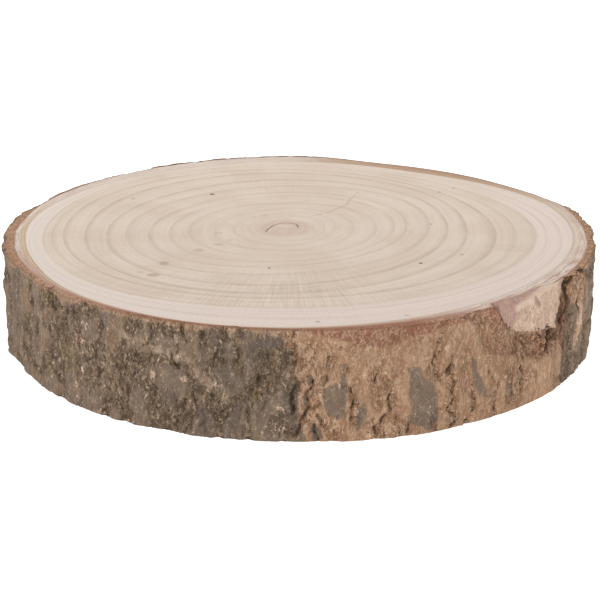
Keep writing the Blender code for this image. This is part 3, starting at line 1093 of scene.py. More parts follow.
@dataclass
class SawnWood:
    """The wood inside the bark: a disc with both sawn faces, its rows of points following the rings.

    Attributes:
        columns: Points round the pith, a divisor of the bark's columns.
        rows_between: Faces between neighbouring ring lines on the upper face.
        ring_relief: How far a ring line lies below the face.
    """

    columns: int = 720
    rows_between: int = 4
    ring_relief: float = 0.06

    def face_rows(self, rows_between: int, degrees: Array) -> list[tuple[Array, float, float]]:
        """Rows from near the pith out to the cambium.

        Args:
            rows_between: Faces between neighbouring ring lines.
            degrees: Angles from the pith.

        Returns:
            The distances of each row from the pith, its ring number and the strength of its ring line.
        """
        lines = [(ring.at(degrees), ring.strength) for ring in GROWTH_RINGS] + [(CAMBIUM.at(degrees), 0.0)]
        rows = []
        inner, inner_strength = np.zeros_like(degrees), GROWTH_RINGS[0].strength
        for number, (line, strength) in enumerate(lines):
            for step in range(1, rows_between + 1):
                share = step / rows_between
                darkness = inner_strength + (strength - inner_strength) * share
                rows.append((inner + (line - inner) * share, number + share, darkness))
            inner, inner_strength = line, strength
        return rows

    def build(self) -> FormedMesh:
        """Build the wood as one closed disc.

        Returns:
            The mesh with its ring masks.
        """
        columns = self.columns
        degrees = np.arange(columns) * 360.0 / columns
        points, ring, line = [], [], []

        def add_row(radius: Array, height: float, phase: float, strength: float) -> None:
            """Add one row of points.

            Args:
                radius: Their distances from the pith.
                height: Their height.
                phase: Their ring number.
                strength: Strength of their ring line.
            """
            points.append(np.column_stack((around(radius, degrees, PITH), np.full(columns, height))))
            ring.append(np.full(columns, phase))
            line.append(np.full(columns, strength))

        for radius, phase, strength in self.face_rows(self.rows_between, degrees):
            on_line = 1.0 - min(abs(phase - round(phase)) * self.rows_between, 1.0)
            sunk = self.ring_relief * on_line * (strength if phase < len(GROWTH_RINGS) + 1 else 0.0)
            add_row(radius, THICKNESS - sunk, phase, strength)
        for radius, phase, strength in reversed(self.face_rows(1, degrees)):
            add_row(radius, 0.0, phase, strength)
        faces = [tuple(reversed(face)) for face in loop_faces(columns, range(len(points)))]
        last = (len(points) - 1) * columns
        top_middle = last + columns
        for column in range(columns):
            following = (column + 1) % columns
            faces.append((top_middle, column, following))
            faces.append((top_middle + 1, last + following, last + column))
        points.append(np.array([[*PITH, THICKNESS], [*PITH, 0.0]]))
        masks = {
            Mask.RING: np.concatenate(ring + [np.zeros(2)]),
            Mask.RING_LINE: np.concatenate(line + [np.zeros(2)]),
        }
        return FormedMesh("sawn_wood", np.concatenate(points), faces, masks)


class Signal:
    """One output of a shader graph, with Python's arithmetic on it."""

    def __init__(self, graph: "Graph", socket: bpy.types.NodeSocket) -> None:
        """Wrap a socket of a graph."""
        self.graph = graph
        self.socket = socket

    @property
    def is_vector(self) -> bool:
        """Whether the signal carries a vector or a colour."""
        return self.socket.type in ("VECTOR", "RGBA")

    def combine(self, operation: str, first: object, second: object) -> "Signal":
        """Join two terms, one of which is this signal, with Vector Math where either is a vector or a colour.

        Args:
            operation: The node's operation.
            first: The first term.
            second: The second term.

        Returns:
            The result.
        """
        other = second if first is self else first
        if self.is_vector or isinstance(other, tuple) or (isinstance(other, Signal) and other.is_vector):
            return self.graph.vector_maths(operation, first, second)
        return self.graph.maths(operation, first, second)

    def __add__(self, other: object) -> "Signal":
        """This signal plus another."""
        return self.combine("ADD", self, other)

    def __sub__(self, other: object) -> "Signal":
        """This signal less another."""
        return self.combine("SUBTRACT", self, other)

    def __rsub__(self, other: object) -> "Signal":
        """Another less this signal."""
        return self.combine("SUBTRACT", other, self)

    def __mul__(self, other: object) -> "Signal":
        """This signal times another."""
        return self.combine("MULTIPLY", self, other)

    __radd__ = __add__
    __rmul__ = __mul__

    def swing(self, amount: float) -> "Signal":
        """A noise moved to lie either side of 0, times an amount."""
        return (self - 0.5) * amount

    def fade(self, low: float, high: float) -> "Signal":
        """Rise smoothly from 0 at low to 1 at high.

        Args:
            low: Where the rise starts.
            high: Where it ends.

        Returns:
            The share from 0 to 1.
        """
        inputs = {"Value": self, "From Min": low, "From Max": high, "To Min": 0.0, "To Max": 1.0}
        return self.graph.signal("ShaderNodeMapRange", {"interpolation_type": "SMOOTHSTEP"}, inputs)

    def direction(self) -> "Signal":
        """A vector scaled to length 1."""
        return self.graph.signal("ShaderNodeVectorMath", {"operation": "NORMALIZE"}, {0: self})

    def part(self, name: str) -> "Signal":
        """One part of a vector, by the name X, Y or Z."""
        split = self.graph.node("ShaderNodeSeparateXYZ", {}, {"Vector": self})
        return Signal(self.graph, split.outputs[name])


class Graph:
    """The nodes of one material."""

    def __init__(self, name: str) -> None:
        """Start a material with its main shader.

        Args:
            name: The material's name.
        """
        self.material = bpy.data.materials.new(name)
        self.material.use_nodes = True
        self.tree = self.material.node_tree
        self.shader = self.tree.nodes["Principled BSDF"]

    def node(
        self, kind: str, settings: Mapping[str, object], inputs: Mapping[str | int, object]
    ) -> bpy.types.Node:
        """Add a node.

        Args:
            kind: The node's type.
            settings: Its own settings, set first.
            inputs: A value or a signal for each named or numbered input.

        Returns:
            The node.
        """
        made = self.tree.nodes.new(kind)
        for name, value in settings.items():
            setattr(made, name, value)
        for key, value in inputs.items():
            self.feed(made.inputs[key], value)
        return made

    def feed(self, socket: bpy.types.NodeSocket, value: object) -> None:
        """Set an input, or link it.

        Args:
            socket: The input.
            value: A value or a signal.
        """
        if isinstance(value, Signal):
            self.tree.links.new(value.socket, socket)
        else:
            socket.default_value = value

    def surface(self, inputs: Mapping[str, object]) -> None:
        """Set or connect inputs of the main shader by name."""
        for name, value in inputs.items():
            self.feed(self.shader.inputs[name], value)

    def signal(
        self,
        kind: str,
        settings: Mapping[str, object],
        inputs: Mapping[str | int, object],
        output: str | int = 0,
    ) -> Signal:
        """Add a node and return one of its outputs."""
        return Signal(self, self.node(kind, settings, inputs).outputs[output])

    def maths(self, operation: str, *terms: object) -> Signal:
        """A Math node on numbers."""
        return self.signal("ShaderNodeMath", {"operation": operation}, dict(enumerate(terms)))

    def vector_maths(self, operation: str, first: object, second: object) -> Signal:
        """A Vector Math node; a number times a vector scales it.

        Args:
            operation: The node's operation.
            first: The first term.
            second: The second term.

        Returns:
            The result.
        """
        if operation == "MULTIPLY":
            for vector, number in ((first, second), (second, first)):
                if isinstance(number, float) or (isinstance(number, Signal) and not number.is_vector):
                    inputs = {0: vector, "Scale": number}
                    return self.signal("ShaderNodeVectorMath", {"operation": "SCALE"}, inputs)
        return self.signal("ShaderNodeVectorMath", {"operation": operation}, {0: first, 1: second})

    def mix(self, share: object, first: object, second: object) -> Signal:
        """Mix two colours.

        Args:
            share: How much of the second colour there is.
            first: The first colour.
            second: The second colour.

        Returns:
            The mixed colour.
        """
        settings = {"data_type": "RGBA", "clamp_factor": True}
        return self.signal("ShaderNodeMix", settings, {0: share, 6: first, 7: second}, 2)

    def layered(self, base: Signal | Colour, *coats: tuple[Signal, Signal | Colour]) -> Signal:
        """Lay coats over a colour.

        Args:
            base: The colour.
            coats: The share and the colour of each coat, in order.

        Returns:
            The colour with all its coats.
        """
        for share, colour in coats:
            base = self.mix(share, base, colour)
        return base

    def mask(self, mask: Mask) -> Signal:
        """A vertex attribute as a number."""
        return self.signal("ShaderNodeAttribute", {"attribute_name": mask.value}, {}, "Fac")

    def place(self) -> Signal:
        """The place on the piece, in millimetres."""
        return Signal(self, self.node("ShaderNodeTexCoord", {}, {}).outputs["Object"]) * 1000.0

    def noise(self, place: Signal, scale: float, detail: float = 2.0, roughness: float = 0.5) -> Signal:
        """Smooth noise from about 0 to 1.

        Args:
            place: Where it is read.
            scale: Cells in each millimetre.
            detail: Number of finer layers.
            roughness: How strong the finer layers are.

        Returns:
            The noise.
        """
        inputs = {"Vector": place, "Scale": scale, "Detail": detail, "Roughness": roughness}
        return self.signal("ShaderNodeTexNoise", {"noise_dimensions": "3D"}, inputs)

    def finish(self, colour: Signal, roughness: object, height: Signal, depth: float) -> bpy.types.Material:
        """Connect the material's surface.

        Args:
            colour: Its base colour.
            roughness: Its roughness.
            height: Fine relief from 0 to 1.
            depth: Depth of the fine relief in millimetres.

        Returns:
            The material.
        """
        inputs = {"Strength": 1.0, "Distance": depth * MM, "Height": height}
        self.surface({
            "Base Color": colour,
            "Roughness": roughness,
            "Normal": self.signal("ShaderNodeBump", {}, inputs, "Normal"),
            "Specular IOR Level": 0.25,
        })
        return self.material


def paint(red: float, green: float, blue: float) -> Colour:
    """A screen colour from 0 to 255 as the linear colour that shaders take.

    Args:
        red: Its red part.
        green: Its green part.
        blue: Its blue part.

    Returns:
        The linear colour with full cover.
    """
    shares = (part / 255.0 for part in (red, green, blue))
    return (*(s / 12.92 if s <= 0.04045 else ((s + 0.055) / 1.055) ** 2.4 for s in shares), 1.0)


@dataclass(frozen=True)
class FaceMarks:
    """Marks on a sawn face.

    Attributes:
        graph: The material's graph.
        x: Place across the face from the pith.
        y: Place up the face from the pith.
    """

    graph: Graph
    x: Signal
    y: Signal

    def ovals(self, rows: Sequence[tuple[float, ...]]) -> Signal:
        """Soft ovals.

        Args:
            rows: The middle, the half sizes and the strength of each.

        Returns:
            The strongest oval at each place.
        """
        share = None
        for middle_x, middle_y, half_x, half_y, strength in rows:
            across = (self.x - middle_x) * (1.0 / half_x)
            up = (self.y - middle_y) * (1.0 / half_y)
            away = self.graph.maths("SQRT", across * across + up * up)
            oval = (1.0 - away.fade(0.5, 1.15)) * strength
            share = oval if share is None else self.graph.maths("MAXIMUM", share, oval)
        return share

    def stroke(self, line: Sequence[Point], half_width: float) -> Signal:
        """A thin line.

        Args:
            line: Points along it.
            half_width: Half its width.

        Returns:
            1 along the line, 0 away from it.
        """
        maths = self.graph.maths
        nearest = None
        for (x0, y0), (x1, y1) in zip(line, line[1:]):
            length = math.hypot(x1 - x0, y1 - y0)
            unit_x = (x1 - x0) / length
            unit_y = (y1 - y0) / length
            from_x = self.x - x0
            from_y = self.y - y0
            along = from_x * unit_x + from_y * unit_y
            beyond = along - maths("MINIMUM", maths("MAXIMUM", along, 0.0), length)
            aside = from_x * unit_y - from_y * unit_x
            away = maths("SQRT", aside * aside + beyond * beyond)
            nearest = away if nearest is None else maths("MINIMUM", nearest, away)
        return 1.0 - nearest.fade(half_width * 0.4, half_width * 1.3)


@dataclass(frozen=True)
class SawnFinish:
    """Sawn end grain: pale beige wood, paler and pinker outside the last ring line, with fine rays.

    Attributes:
        heart: Colour of the wood.
        shade: Colour of its darker clouds.
        sap: Colour of the outermost wood.
        sap_pink: Colour of the outermost wood at the front right.
        line: Colour of a strong ring line.
        core: Colour round the pith.
        stain: Colour of the brown stains.
        fleck: Colour of the dark flecks.
        crack: Colour of the faint check.
        arch_line: Colour of the arched crack.
        stains: Middle from the pith, half sizes and strength of each brown stain.
        flecks: The same of each dark fleck.
        check: Points along the faint check above the pith.
        arch: Points along the arched crack round the pith.
    """

    heart: Colour = paint(218, 202, 186)
    shade: Colour = paint(213, 195, 178)
    sap: Colour = paint(224, 210, 199)
    sap_pink: Colour = paint(222, 205, 194)
    line: Colour = paint(188, 166, 147)
    core: Colour = paint(207, 186, 169)
    stain: Colour = paint(178, 156, 134)
    fleck: Colour = paint(90, 78, 66)
    crack: Colour = paint(150, 112, 80)
    arch_line: Colour = paint(122, 84, 60)
    stains: tuple[tuple[float, ...], ...] = (
        (-58.7, -72.1, 3.6, 2.8, 0.9), (-55.2, -55.5, 2.6, 3.4, 0.9), (-40.6, -35.6, 3.0, 3.2, 0.55),
        (-31.5, -26.9, 2.8, 1.9, 0.6), (-26.6, -19.9, 1.7, 2.6, 0.4), (-64.8, -68.0, 1.9, 1.7, 0.5),
        (-32.1, -8.2, 2.4, 1.6, 0.45), (-47.9, -14.6, 1.2, 1.2, 0.4), (-10.8, 22.5, 2.6, 1.3, 0.5),
        (-16.0, 19.0, 1.8, 1.0, 0.35),
    )
    flecks: tuple[tuple[float, ...], ...] = (
        (-39.1, 61.0, 1.7, 1.7, 0.85), (-80.0, 52.3, 1.3, 1.2, 0.45), (89.6, 73.0, 1.0, 1.2, 0.5),
        (81.2, 65.4, 1.1, 1.1, 0.5), (72.4, 6.7, 0.6, 1.6, 0.5), (82.9, -42.6, 1.0, 0.9, 0.55),
        (62.8, -55.2, 1.1, 1.1, 0.9), (-6.7, -62.2, 0.8, 1.1, 0.8), (14.6, -132.6, 1.3, 1.0, 0.5),
        (52.0, -125.0, 1.2, 0.8, 0.35),
    )
    check: tuple[Point, ...] = ((11.7, 19.0), (21.9, 27.7), (31.2, 40.9), (33.6, 52.6), (38.0, 64.2))
    arch: tuple[Point, ...] = (
        (6.2, 1.1), (6.3, 3.7), (5.3, 6.8), (2.3, 8.7), (-2.1, 8.0), (-5.2, 5.3), (-6.6, 2.6), (-8.2, -1.2),
        (-9.4, -5.7),
    )

    def material(self) -> bpy.types.Material:
        """Make the finish.

        Returns:
            The material.
        """
        graph = Graph("sawn end grain")
        place = graph.place()
        from_pith = place - (*PITH, 0.0)
        flat = from_pith * (1.0, 1.0, 0.0)
        y = from_pith.part("Y")
        marks = FaceMarks(graph, from_pith.part("X"), y)
        direction = flat.direction()
        reach = graph.signal("ShaderNodeVectorMath", {"operation": "LENGTH"}, {0: flat}, "Value")
        broad = graph.noise(place, 0.035, 2.0)
        wobble = graph.noise(place, 0.16, 2.0)
        ring = graph.mask(Mask.RING) + wobble.swing(0.09)
        strength = graph.mask(Mask.RING_LINE)
        turn = graph.maths("FRACT", ring)
        line = graph.maths("MAXIMUM", turn.fade(0.72, 0.985), 1.0 - turn.fade(0.0, 0.05)) * strength
        shade_before = turn.fade(0.45, 1.0) * strength
        between = graph.noise(direction * 1.6 + ring * (0.0, 0.0, 5.5), 1.0, 3.0, 0.6)
        ray_patch = graph.noise(place, 0.022, 1.0).fade(0.35, 0.65)
        rays = graph.noise(direction * 200.0 + reach * (0.0, 0.0, 0.05), 1.0, 1.0)
        pores = graph.noise(place, 0.9, 2.0, 0.8)
        patchy = graph.noise(place, 0.06, 2.0).fade(0.3, 0.65) * 0.6 + 0.4

        last_line = len(GROWTH_RINGS) - 1.5
        outer = ring.fade(last_line - 0.8, last_line)
        behind = direction.part("Y").fade(0.2, 0.75)
        front_right = (direction.part("X") * 0.7 - direction.part("Y") * 0.6).fade(-0.3, 0.8)
        core_share = (1.0 - reach.fade(11.0, 17.0)) * wobble.fade(0.25, 0.55)
        colour = graph.layered(
            graph.mix(broad.fade(0.35, 0.65), self.heart, self.shade),
            (outer * (1.0 - behind * 0.7), graph.mix(front_right, self.sap, self.sap_pink)),
            (core_share, self.core),
            (shade_before * 0.15, self.line),
            (line * patchy * 0.7, self.line),
        )
        near_front = (0.0 - direction.part("Y")).fade(0.86, 0.99) * reach.fade(60.0, 85.0)
        ray_share = (ray_patch * 0.16 + near_front * 0.3 + 0.04) * (1.0 - outer * 0.8)
        # The y term is painted light: it paints the faces lighter towards the back and darker towards the
        # front
        tone = 1.0 + between.swing(0.26) + (rays - 0.5) * ray_share + pores.swing(0.3) + y * 0.0004

        upper = place.part("Z").fade(THICKNESS * 0.4, THICKNESS * 0.6)
        broken = graph.noise(place, 0.35, 2.0).fade(0.38, 0.6) * upper
        arch = marks.stroke(self.arch, 0.45) * upper
        colour = graph.layered(
            colour * tone,
            (marks.ovals(self.stains) * upper * 0.8, self.stain),
            (marks.ovals(self.flecks) * upper, self.fleck),
            (marks.stroke(self.check, 0.7) * broken * 0.35, self.crack),
            (arch * 0.75, self.arch_line),
        )
        relief = rays * 0.5 + pores * 0.35 + between * 0.3 - line * 0.4 - arch * 2.0
        return graph.finish(colour, 0.72, relief, 0.05)


@dataclass(frozen=True)
class BarkFinish:
    """Bark: grey-brown and weathered, rubbed tan at the front, red and bare where it is torn.

    Attributes:
        plate, plate_brown, plate_light, blue: Colours of the smooth grey plates.
        grey_dark, grey_mid, grey_light: Colours of the rough grey bark between them.
        tan, tan_dark, tan_light: Colours of the rubbed bark.
        patch, patch_light, patch_rim: Colours of the grey patches on it, and of their edges.
        rough_dark, rough_mid, rough_light: Colours of the rough tan bark.
        red, red_light: Colours of the reddish inner bark.
        bare, bare_pale: Colours of the bare wood in the scar; bare_pale is also laid along its ridge as a
            painted highlight.
        lavender, lavender_dark: Colours of the stained parts of that wood.
        olive: Tinge in the furrows of the grey bark.
        golden: Colour of the rubbed strip under the upper edge of the grey bark.
        chip, chip_pale: Colours of the light chips.
        torn, torn_light: Colours of the torn wood.
        deep: Colour inside the cracks, and painted shade in the creases and the fine hollows.
        inner_pale, inner_grey: Colours of the inner bark where the saw has cut it.
        inner_gold, inner_brown, inner_red, inner_fibre: Its tan, red and fibrous parts.
        outer_cut, outer_brown, outer_light, outer_dark: Colours of the outer bark where it is cut.
    """

    plate: Colour = paint(117, 100, 86)
    plate_brown: Colour = paint(128, 106, 85)
    plate_light: Colour = paint(150, 130, 111)
    blue: Colour = paint(98, 87, 79)
    grey_dark: Colour = paint(102, 85, 68)
    grey_mid: Colour = paint(137, 115, 92)
    grey_light: Colour = paint(180, 160, 140)
    tan: Colour = paint(158, 125, 97)
    tan_dark: Colour = paint(141, 107, 82)
    tan_light: Colour = paint(178, 145, 116)
    patch: Colour = paint(106, 92, 81)
    patch_light: Colour = paint(126, 110, 93)
    patch_rim: Colour = paint(188, 160, 134)
    rough_dark: Colour = paint(146, 111, 84)
    rough_mid: Colour = paint(172, 137, 108)
    rough_light: Colour = paint(202, 169, 142)
    red: Colour = paint(128, 85, 67)
    red_light: Colour = paint(163, 119, 95)
    bare: Colour = paint(206, 178, 152)
    bare_pale: Colour = paint(218, 194, 174)
    lavender: Colour = paint(178, 142, 132)
    lavender_dark: Colour = paint(146, 110, 100)
    olive: Colour = paint(112, 98, 54)
    golden: Colour = paint(171, 137, 110)
    chip: Colour = paint(186, 144, 116)
    chip_pale: Colour = paint(210, 186, 166)
    torn: Colour = paint(84, 58, 42)
    torn_light: Colour = paint(142, 106, 80)
    deep: Colour = paint(56, 40, 27)
    inner_pale: Colour = paint(220, 205, 192)
    inner_grey: Colour = paint(196, 180, 166)
    inner_gold: Colour = paint(204, 178, 142)
    inner_brown: Colour = paint(190, 160, 132)
    inner_red: Colour = paint(152, 107, 90)
    inner_fibre: Colour = paint(184, 154, 142)
    outer_cut: Colour = paint(180, 143, 116)
    outer_brown: Colour = paint(150, 114, 90)
    outer_light: Colour = paint(204, 170, 140)
    outer_dark: Colour = paint(104, 82, 64)

    def side(self, graph: Graph, place: Signal) -> tuple[Signal, Signal]:
        """The colour of the bark's side.

        Args:
            graph: The material's graph.
            place: The place on the bark.

        Returns:
            The colour, and fine relief from 0 to 1.
        """
        inputs = {"Vector": place, "Scale": 0.16, "Detail": 2.0}
        swirl = graph.signal("ShaderNodeTexNoise", {}, inputs, "Color")
        bent = place + (swirl - (0.5, 0.5, 0.5)) * 6.0

        def upright(squeeze: float, scale: float, detail: float, roughness: float) -> Signal:
            """Noise that is drawn out upwards, the more so the smaller its squeeze is."""
            return graph.noise(bent * (1.0, 1.0, squeeze), scale, detail, roughness)

        streak = upright(0.3, 0.5, 4.0, 0.7)
        fine = upright(0.5, 0.85, 3.0, 0.75)
        blotch = upright(0.5, 0.085, 3.0, 0.55)
        strands = upright(0.1, 0.75, 3.0, 0.65).fade(0.42, 0.58)
        hatch = upright(0.2, 1.3, 2.0, 0.7)
        speck = graph.noise(place, 1.1, 2.0, 0.8)
        # Thin winding creases, sunk in the relief; the deep colour laid along them is painted shade
        crease = 1.0 - graph.maths("ABSOLUTE", upright(0.42, 0.34, 3.0, 0.7) - 0.5).fade(0.0, 0.04)
        grain = fine * 0.55 + speck * 0.45
        dark_spots = 1.0 - grain.fade(0.40, 0.48)
        light_spots = grain.fade(0.53, 0.61)
        streaks = streak.fade(0.42, 0.60)
        pale = graph.mask(Mask.PALE)
        red = graph.mask(Mask.RED)
        blue = graph.mask(Mask.BLUE)
        # Chips, and the painted highlight along the scar's ridge
        chips = graph.mask(Mask.CHIP_AND_RIDGE_HIGHLIGHT)
        torn_mask = graph.mask(Mask.TORN)
        rough = (graph.mask(Mask.ROUGH) + blotch.swing(1.2) + fine.swing(1.2)).fade(0.15, 0.85)

        plate = graph.layered(
            graph.mix(blotch.fade(0.42, 0.60), self.plate, self.plate_brown),
            (blue * 0.85, self.blue),
            (streak.fade(0.48, 0.66) * 0.6, self.plate_light),
            (light_spots * 0.35, self.plate_light),
            ((1.0 - streak.fade(0.36, 0.46)) * 0.6, self.grey_dark),
            (dark_spots * 0.5, self.grey_dark),
        )
        furrow = graph.layered(
            graph.mix(streaks, self.grey_dark, self.grey_mid),
            (light_spots * 0.65, self.grey_light),
            (graph.mask(Mask.OLIVE) * streak.fade(0.35, 0.6) * 0.8, self.olive),
            # Painted shade in the creases
            (crease * 0.45, self.deep),
            (dark_spots * 0.5, self.deep),
            # Painted shade in the fine hollows
            (graph.mask(Mask.HOLLOW_SHADE).fade(0.3, 0.8) * 0.2, self.deep),
        )
        golden = graph.layered(self.golden, (light_spots * 0.6, self.tan_light), (dark_spots * 0.7, self.red))
        flakes = (chips + fine.swing(2.0) + speck.swing(2.0)).fade(0.6, 0.9)
        brim = (graph.mask(Mask.BRIM) + fine.swing(2.6) + blotch.swing(2.0)).fade(0.5, 0.9)
        grey = graph.layered(
            graph.mix(rough, plate, furrow),
            (pale.fade(0.3, 1.0) * 0.6, graph.mix(strands, self.grey_dark, self.plate_light)),
            (flakes * 0.75, graph.mix(speck.fade(0.45, 0.65), self.chip, self.chip_pale)),
            (brim * 0.75, golden),
        )

        riven = graph.layered(
            graph.mix(streaks, self.rough_dark, self.rough_mid),
            (light_spots * 0.8, self.rough_light),
            (dark_spots * 0.55, self.rough_dark),
            # Painted shade in the creases
            (crease * fine.fade(0.42, 0.56) * 0.8, self.deep),
            (torn_mask.fade(0.1, 0.4) * dark_spots * 0.8, self.deep),
        )
        patch = graph.layered(
            graph.mix(streak.fade(0.40, 0.62) * 0.7, self.patch, self.patch_light),
            (light_spots * 0.2, self.patch_rim),
            (dark_spots * 0.4, self.grey_dark),
            # Painted shade in the creases
            (rough * crease * 0.5, self.deep),
        )
        red_grain = graph.mix(grain.fade(0.46, 0.62), self.red, self.red_light)
        red_share = (red + speck.swing(0.7) + blotch.swing(0.9)).fade(0.15, 0.85)
        smooth_mask = graph.mask(Mask.SMOOTH) + fine.swing(1.2) + streak.swing(2.4)
        rim = 1.0 - graph.maths("ABSOLUTE", smooth_mask - 0.2).fade(0.0, 0.25)
        tan = graph.layered(
            graph.mix(streak.fade(0.42, 0.62) * 0.6, self.tan, self.tan_light),
            (blotch.fade(0.40, 0.62) * 0.7, self.tan_dark),
            (dark_spots * 0.35, self.red),
            (light_spots * 0.3, self.tan_light),
            (rough, riven),
            (red_share * (0.9 - rough * 0.2), red_grain),
            (rim * streak.fade(0.4, 0.6) * 0.5, self.patch_rim),
            (smooth_mask.fade(0.15, 0.85) * 0.9, patch),
        )

        bare = graph.layered(
            graph.mix(streak.fade(0.40, 0.62), self.bare, self.bare_pale),
            (blotch.fade(0.45, 0.6) * 0.35, self.lavender),
            (red.fade(0.1, 0.9) * 0.75, self.lavender),
            ((1.0 - hatch.fade(0.36, 0.5)) * 0.4, self.lavender_dark),
            (dark_spots * 0.4, self.lavender_dark),
            # Pale wood where the chips mask is: inside the scar this is mostly the painted highlight along
            # its ridge
            (chips.fade(0.2, 0.9) * 0.8, self.bare_pale),
            (torn_mask.fade(0.2, 0.9) * 0.6, self.lavender_dark),
        )
        torn = graph.layered(
            graph.mix(strands, self.torn, self.torn_light),
            (light_spots * 0.3, self.rough_light),
            (dark_spots * 0.85, self.deep),
        )
        weathered = (graph.mask(Mask.WEATHERED) + fine.swing(1.0) + streak.swing(1.0)).fade(0.36, 0.64)
        bare_share = (graph.mask(Mask.BARE) + fine.swing(2.2) + hatch.swing(1.4)).fade(0.2, 0.75)
        torn_share = (torn_mask + streak.swing(1.8) + fine.swing(1.6)).fade(0.35, 0.75)
        core = (graph.mask(Mask.FISSURE) + fine.swing(1.3) + speck.swing(0.9)).fade(1.06, 1.2)
        colour = graph.layered(
            graph.mix(weathered, tan, grey),
            (bare_share, bare),
            (torn_share * (1.0 - bare_share * 0.8) * 0.85, torn),
            (core * 0.8, self.deep),
        )
        tone = 1.0 + grain.swing(0.6) + pale * (1.0 - bare_share) * 0.3 - blue * 0.22
        relief = streak * 0.4 + grain * 0.9 - crease * rough * 0.5 - core * 0.6
        return colour * tone, relief

    def cut(self, graph: Graph, place: Signal) -> Signal:
        """The colour of the bark where the saw has cut it.

        Args:
            graph: The material's graph.
            place: The place on the bark.

        Returns:
            The colour.
        """
        grains = graph.noise(place, 0.45, 4.0, 0.75)
        specks = graph.noise(place, 1.1, 2.0, 0.8)
        along = graph.noise(place, 0.12, 2.0)
        layer = graph.mask(Mask.LAYER) + grains.swing(0.25) + along.swing(0.3)
        direction = place.direction()
        behind = direction.part("Y").fade(0.3, 0.7)
        near_left = (0.0 - direction.part("X")).fade(0.3, 0.8) * (0.3 - direction.part("Y")).fade(0.0, 0.3)
        strands = graph.noise(direction * 9.0 + layer * (0.0, 0.0, 6.0), 1.0, 3.0, 0.6)
        hatch = graph.noise(direction * 170.0, 1.0, 2.0, 0.7)
        tan = graph.mask(Mask.TAN_CUT)
        red = graph.mask(Mask.RED_CUT)

        inner = graph.layered(
            self.inner_pale,
            ((1.0 - strands.fade(0.40, 0.52)) * (near_left * 0.7 + 0.3), self.inner_grey),
            (
                tan * (1.0 - layer.fade(0.35, 0.75) * (1.0 - behind)),
                graph.mix(behind, self.inner_gold, self.inner_brown),
            ),
            (
                graph.mask(Mask.FIBRE_CUT) * layer.fade(-0.1, 0.7),
                graph.mix(strands.fade(0.45, 0.55), self.inner_fibre, self.inner_pale),
            ),
        )
        inner = graph.mix(red * layer.fade(-0.15, 0.85), inner * (1.0 + hatch.swing(0.3)), self.inner_red)
        outer = graph.layered(
            graph.mix(grains.fade(0.44, 0.56), self.outer_brown, self.outer_cut),
            (specks.fade(0.55, 0.65) * 0.6, self.outer_light),
            ((1.0 - specks.fade(0.36, 0.46)) * 0.6, self.outer_dark),
            (red.fade(0.92, 1.0) * 0.8, graph.mix(specks.fade(0.44, 0.6), self.red, self.red_light)),
            (behind * (1.0 - tan) * 0.6, self.outer_dark),
        )
        edge = graph.mask(Mask.LAYER).fade(1.7, 1.98) * (1.0 - red.fade(0.5, 0.8)) * (1.0 - behind * tan)
        return graph.layered(inner, (layer.fade(0.9, 1.05), outer), (edge * 0.55, self.outer_dark))

    def material(self) -> bpy.types.Material:
        """Make the finish.

        Returns:
            The material.
        """
        graph = Graph("bark")
        place = graph.place()
        side, relief = self.side(graph, place)
        sawn = graph.mask(Mask.CUT).fade(0.5, 0.75)
        colour = graph.mix(sawn, side, self.cut(graph, place))
        return graph.finish(colour, 0.9, relief * (1.0 - sawn * 0.9), 0.6)


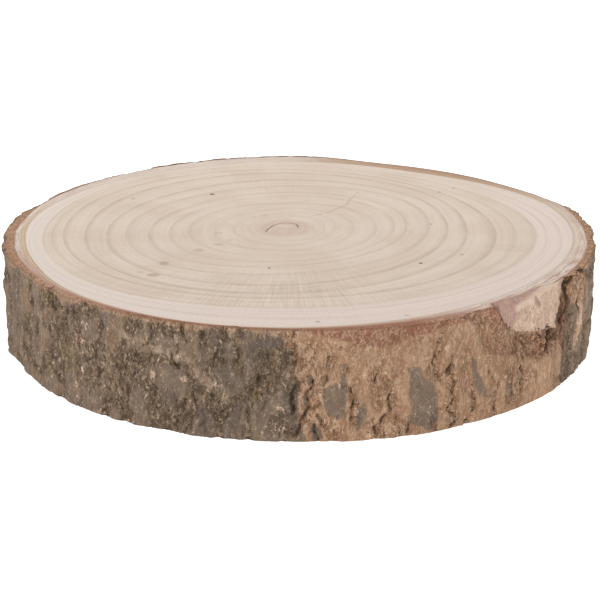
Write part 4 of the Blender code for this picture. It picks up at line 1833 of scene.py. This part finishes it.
@dataclass
class Studio:
    """The plain floor, the soft lights and the camera.

    Attributes:
        lens: Focal length on a 36 mm wide sensor.
        camera_place: The camera's place in metres.
        camera_pitch: How far it looks down, in degrees.
        floor_half: Half the floor's width in metres.
        floor_tone: How light the floor is, from 0 to 1.
        floor_glow: How much light it gives off itself.
        sky: Strength of the even light from all round.
    """

    lens: float = 95.97
    camera_place: tuple[float, float, float] = (0.0, -0.75395, 0.28051)
    camera_pitch: float = 19.577
    floor_half: float = 4.0
    floor_tone: float = 0.93
    floor_glow: float = 0.6
    sky: float = 0.45

    def floor(self) -> None:
        """Lay a wide, nearly white floor under the slice."""
        half = self.floor_half
        mesh = bpy.data.meshes.new("floor")
        corners = [(-half, -half, 0.0), (half, -half, 0.0), (half, half, 0.0), (-half, half, 0.0)]
        mesh.from_pydata(corners, [], [(0, 1, 2, 3)])
        graph = Graph("floor")
        graph.surface({
            "Base Color": (self.floor_tone, self.floor_tone, self.floor_tone, 1.0),
            "Roughness": 1.0,
            "Specular IOR Level": 0.0,
            "Emission Color": (1.0, 1.0, 1.0, 1.0),
            "Emission Strength": self.floor_glow,
        })
        mesh.materials.append(graph.material)
        floor = bpy.data.objects.new("floor", mesh)
        bpy.context.scene.collection.objects.link(floor)

    def lamp(self, name: str, place: tuple[float, float, float], size: float, power: float) -> None:
        """Hang a square soft lamp that points at the slice.

        Args:
            name: Its name.
            place: Where it hangs, in metres.
            size: Its side, in metres.
            power: Its power in watts.
        """
        light = bpy.data.lights.new(name, "AREA")
        light.size = size
        light.energy = power
        lamp = bpy.data.objects.new(name, light)
        lamp.location = place
        tilt = math.atan2(math.hypot(place[0], place[1]), place[2])
        lamp.rotation_euler = (tilt, 0.0, math.atan2(place[1], place[0]) + math.pi / 2.0)
        bpy.context.scene.collection.objects.link(lamp)

    def surroundings(self) -> None:
        """Light the scene evenly from all round."""
        world = bpy.data.worlds.new("studio")
        world.use_nodes = True
        background = world.node_tree.nodes["Background"]
        background.inputs["Color"].default_value = (1.0, 1.0, 1.0, 1.0)
        background.inputs["Strength"].default_value = self.sky
        bpy.context.scene.world = world

    def camera(self) -> None:
        """Set the camera at the photo's angle."""
        data = bpy.data.cameras.new("camera")
        data.lens = self.lens
        data.sensor_width = 36.0
        camera = bpy.data.objects.new("camera", data)
        camera.location = self.camera_place
        camera.rotation_euler = (math.radians(90.0 - self.camera_pitch), 0.0, 0.0)
        bpy.context.scene.collection.objects.link(camera)
        bpy.context.scene.camera = camera

    def build(self) -> None:
        """Set up the whole studio."""
        bpy.context.scene.view_settings.view_transform = "Standard"
        self.floor()
        self.surroundings()
        self.lamp("top softbox", (0.0, 0.25, 1.6), 1.6, 14.0)
        self.lamp("front softbox", (-0.5, -1.5, 1.1), 1.0, 10.0)
        self.camera()


def main() -> None:
    """Build each part of the scene in order."""
    logging.basicConfig(level=logging.INFO, format="%(name)s: %(message)s")
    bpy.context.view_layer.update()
    Studio().build()
    for mesh, finish, slot in (
        (SawnWood().build(), SawnFinish(), "wood"),
        (BarkRing().build(), BarkFinish(), "bark"),
    ):
        piece = mesh.to_object()
        piece.data.materials.append(finish.material())
        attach(piece, BODY)
        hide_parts(NODE)
        log.info("%s: %d points, %d faces", piece.name, len(piece.data.vertices), len(piece.data.polygons))


if __name__ == "__main__":
    main()
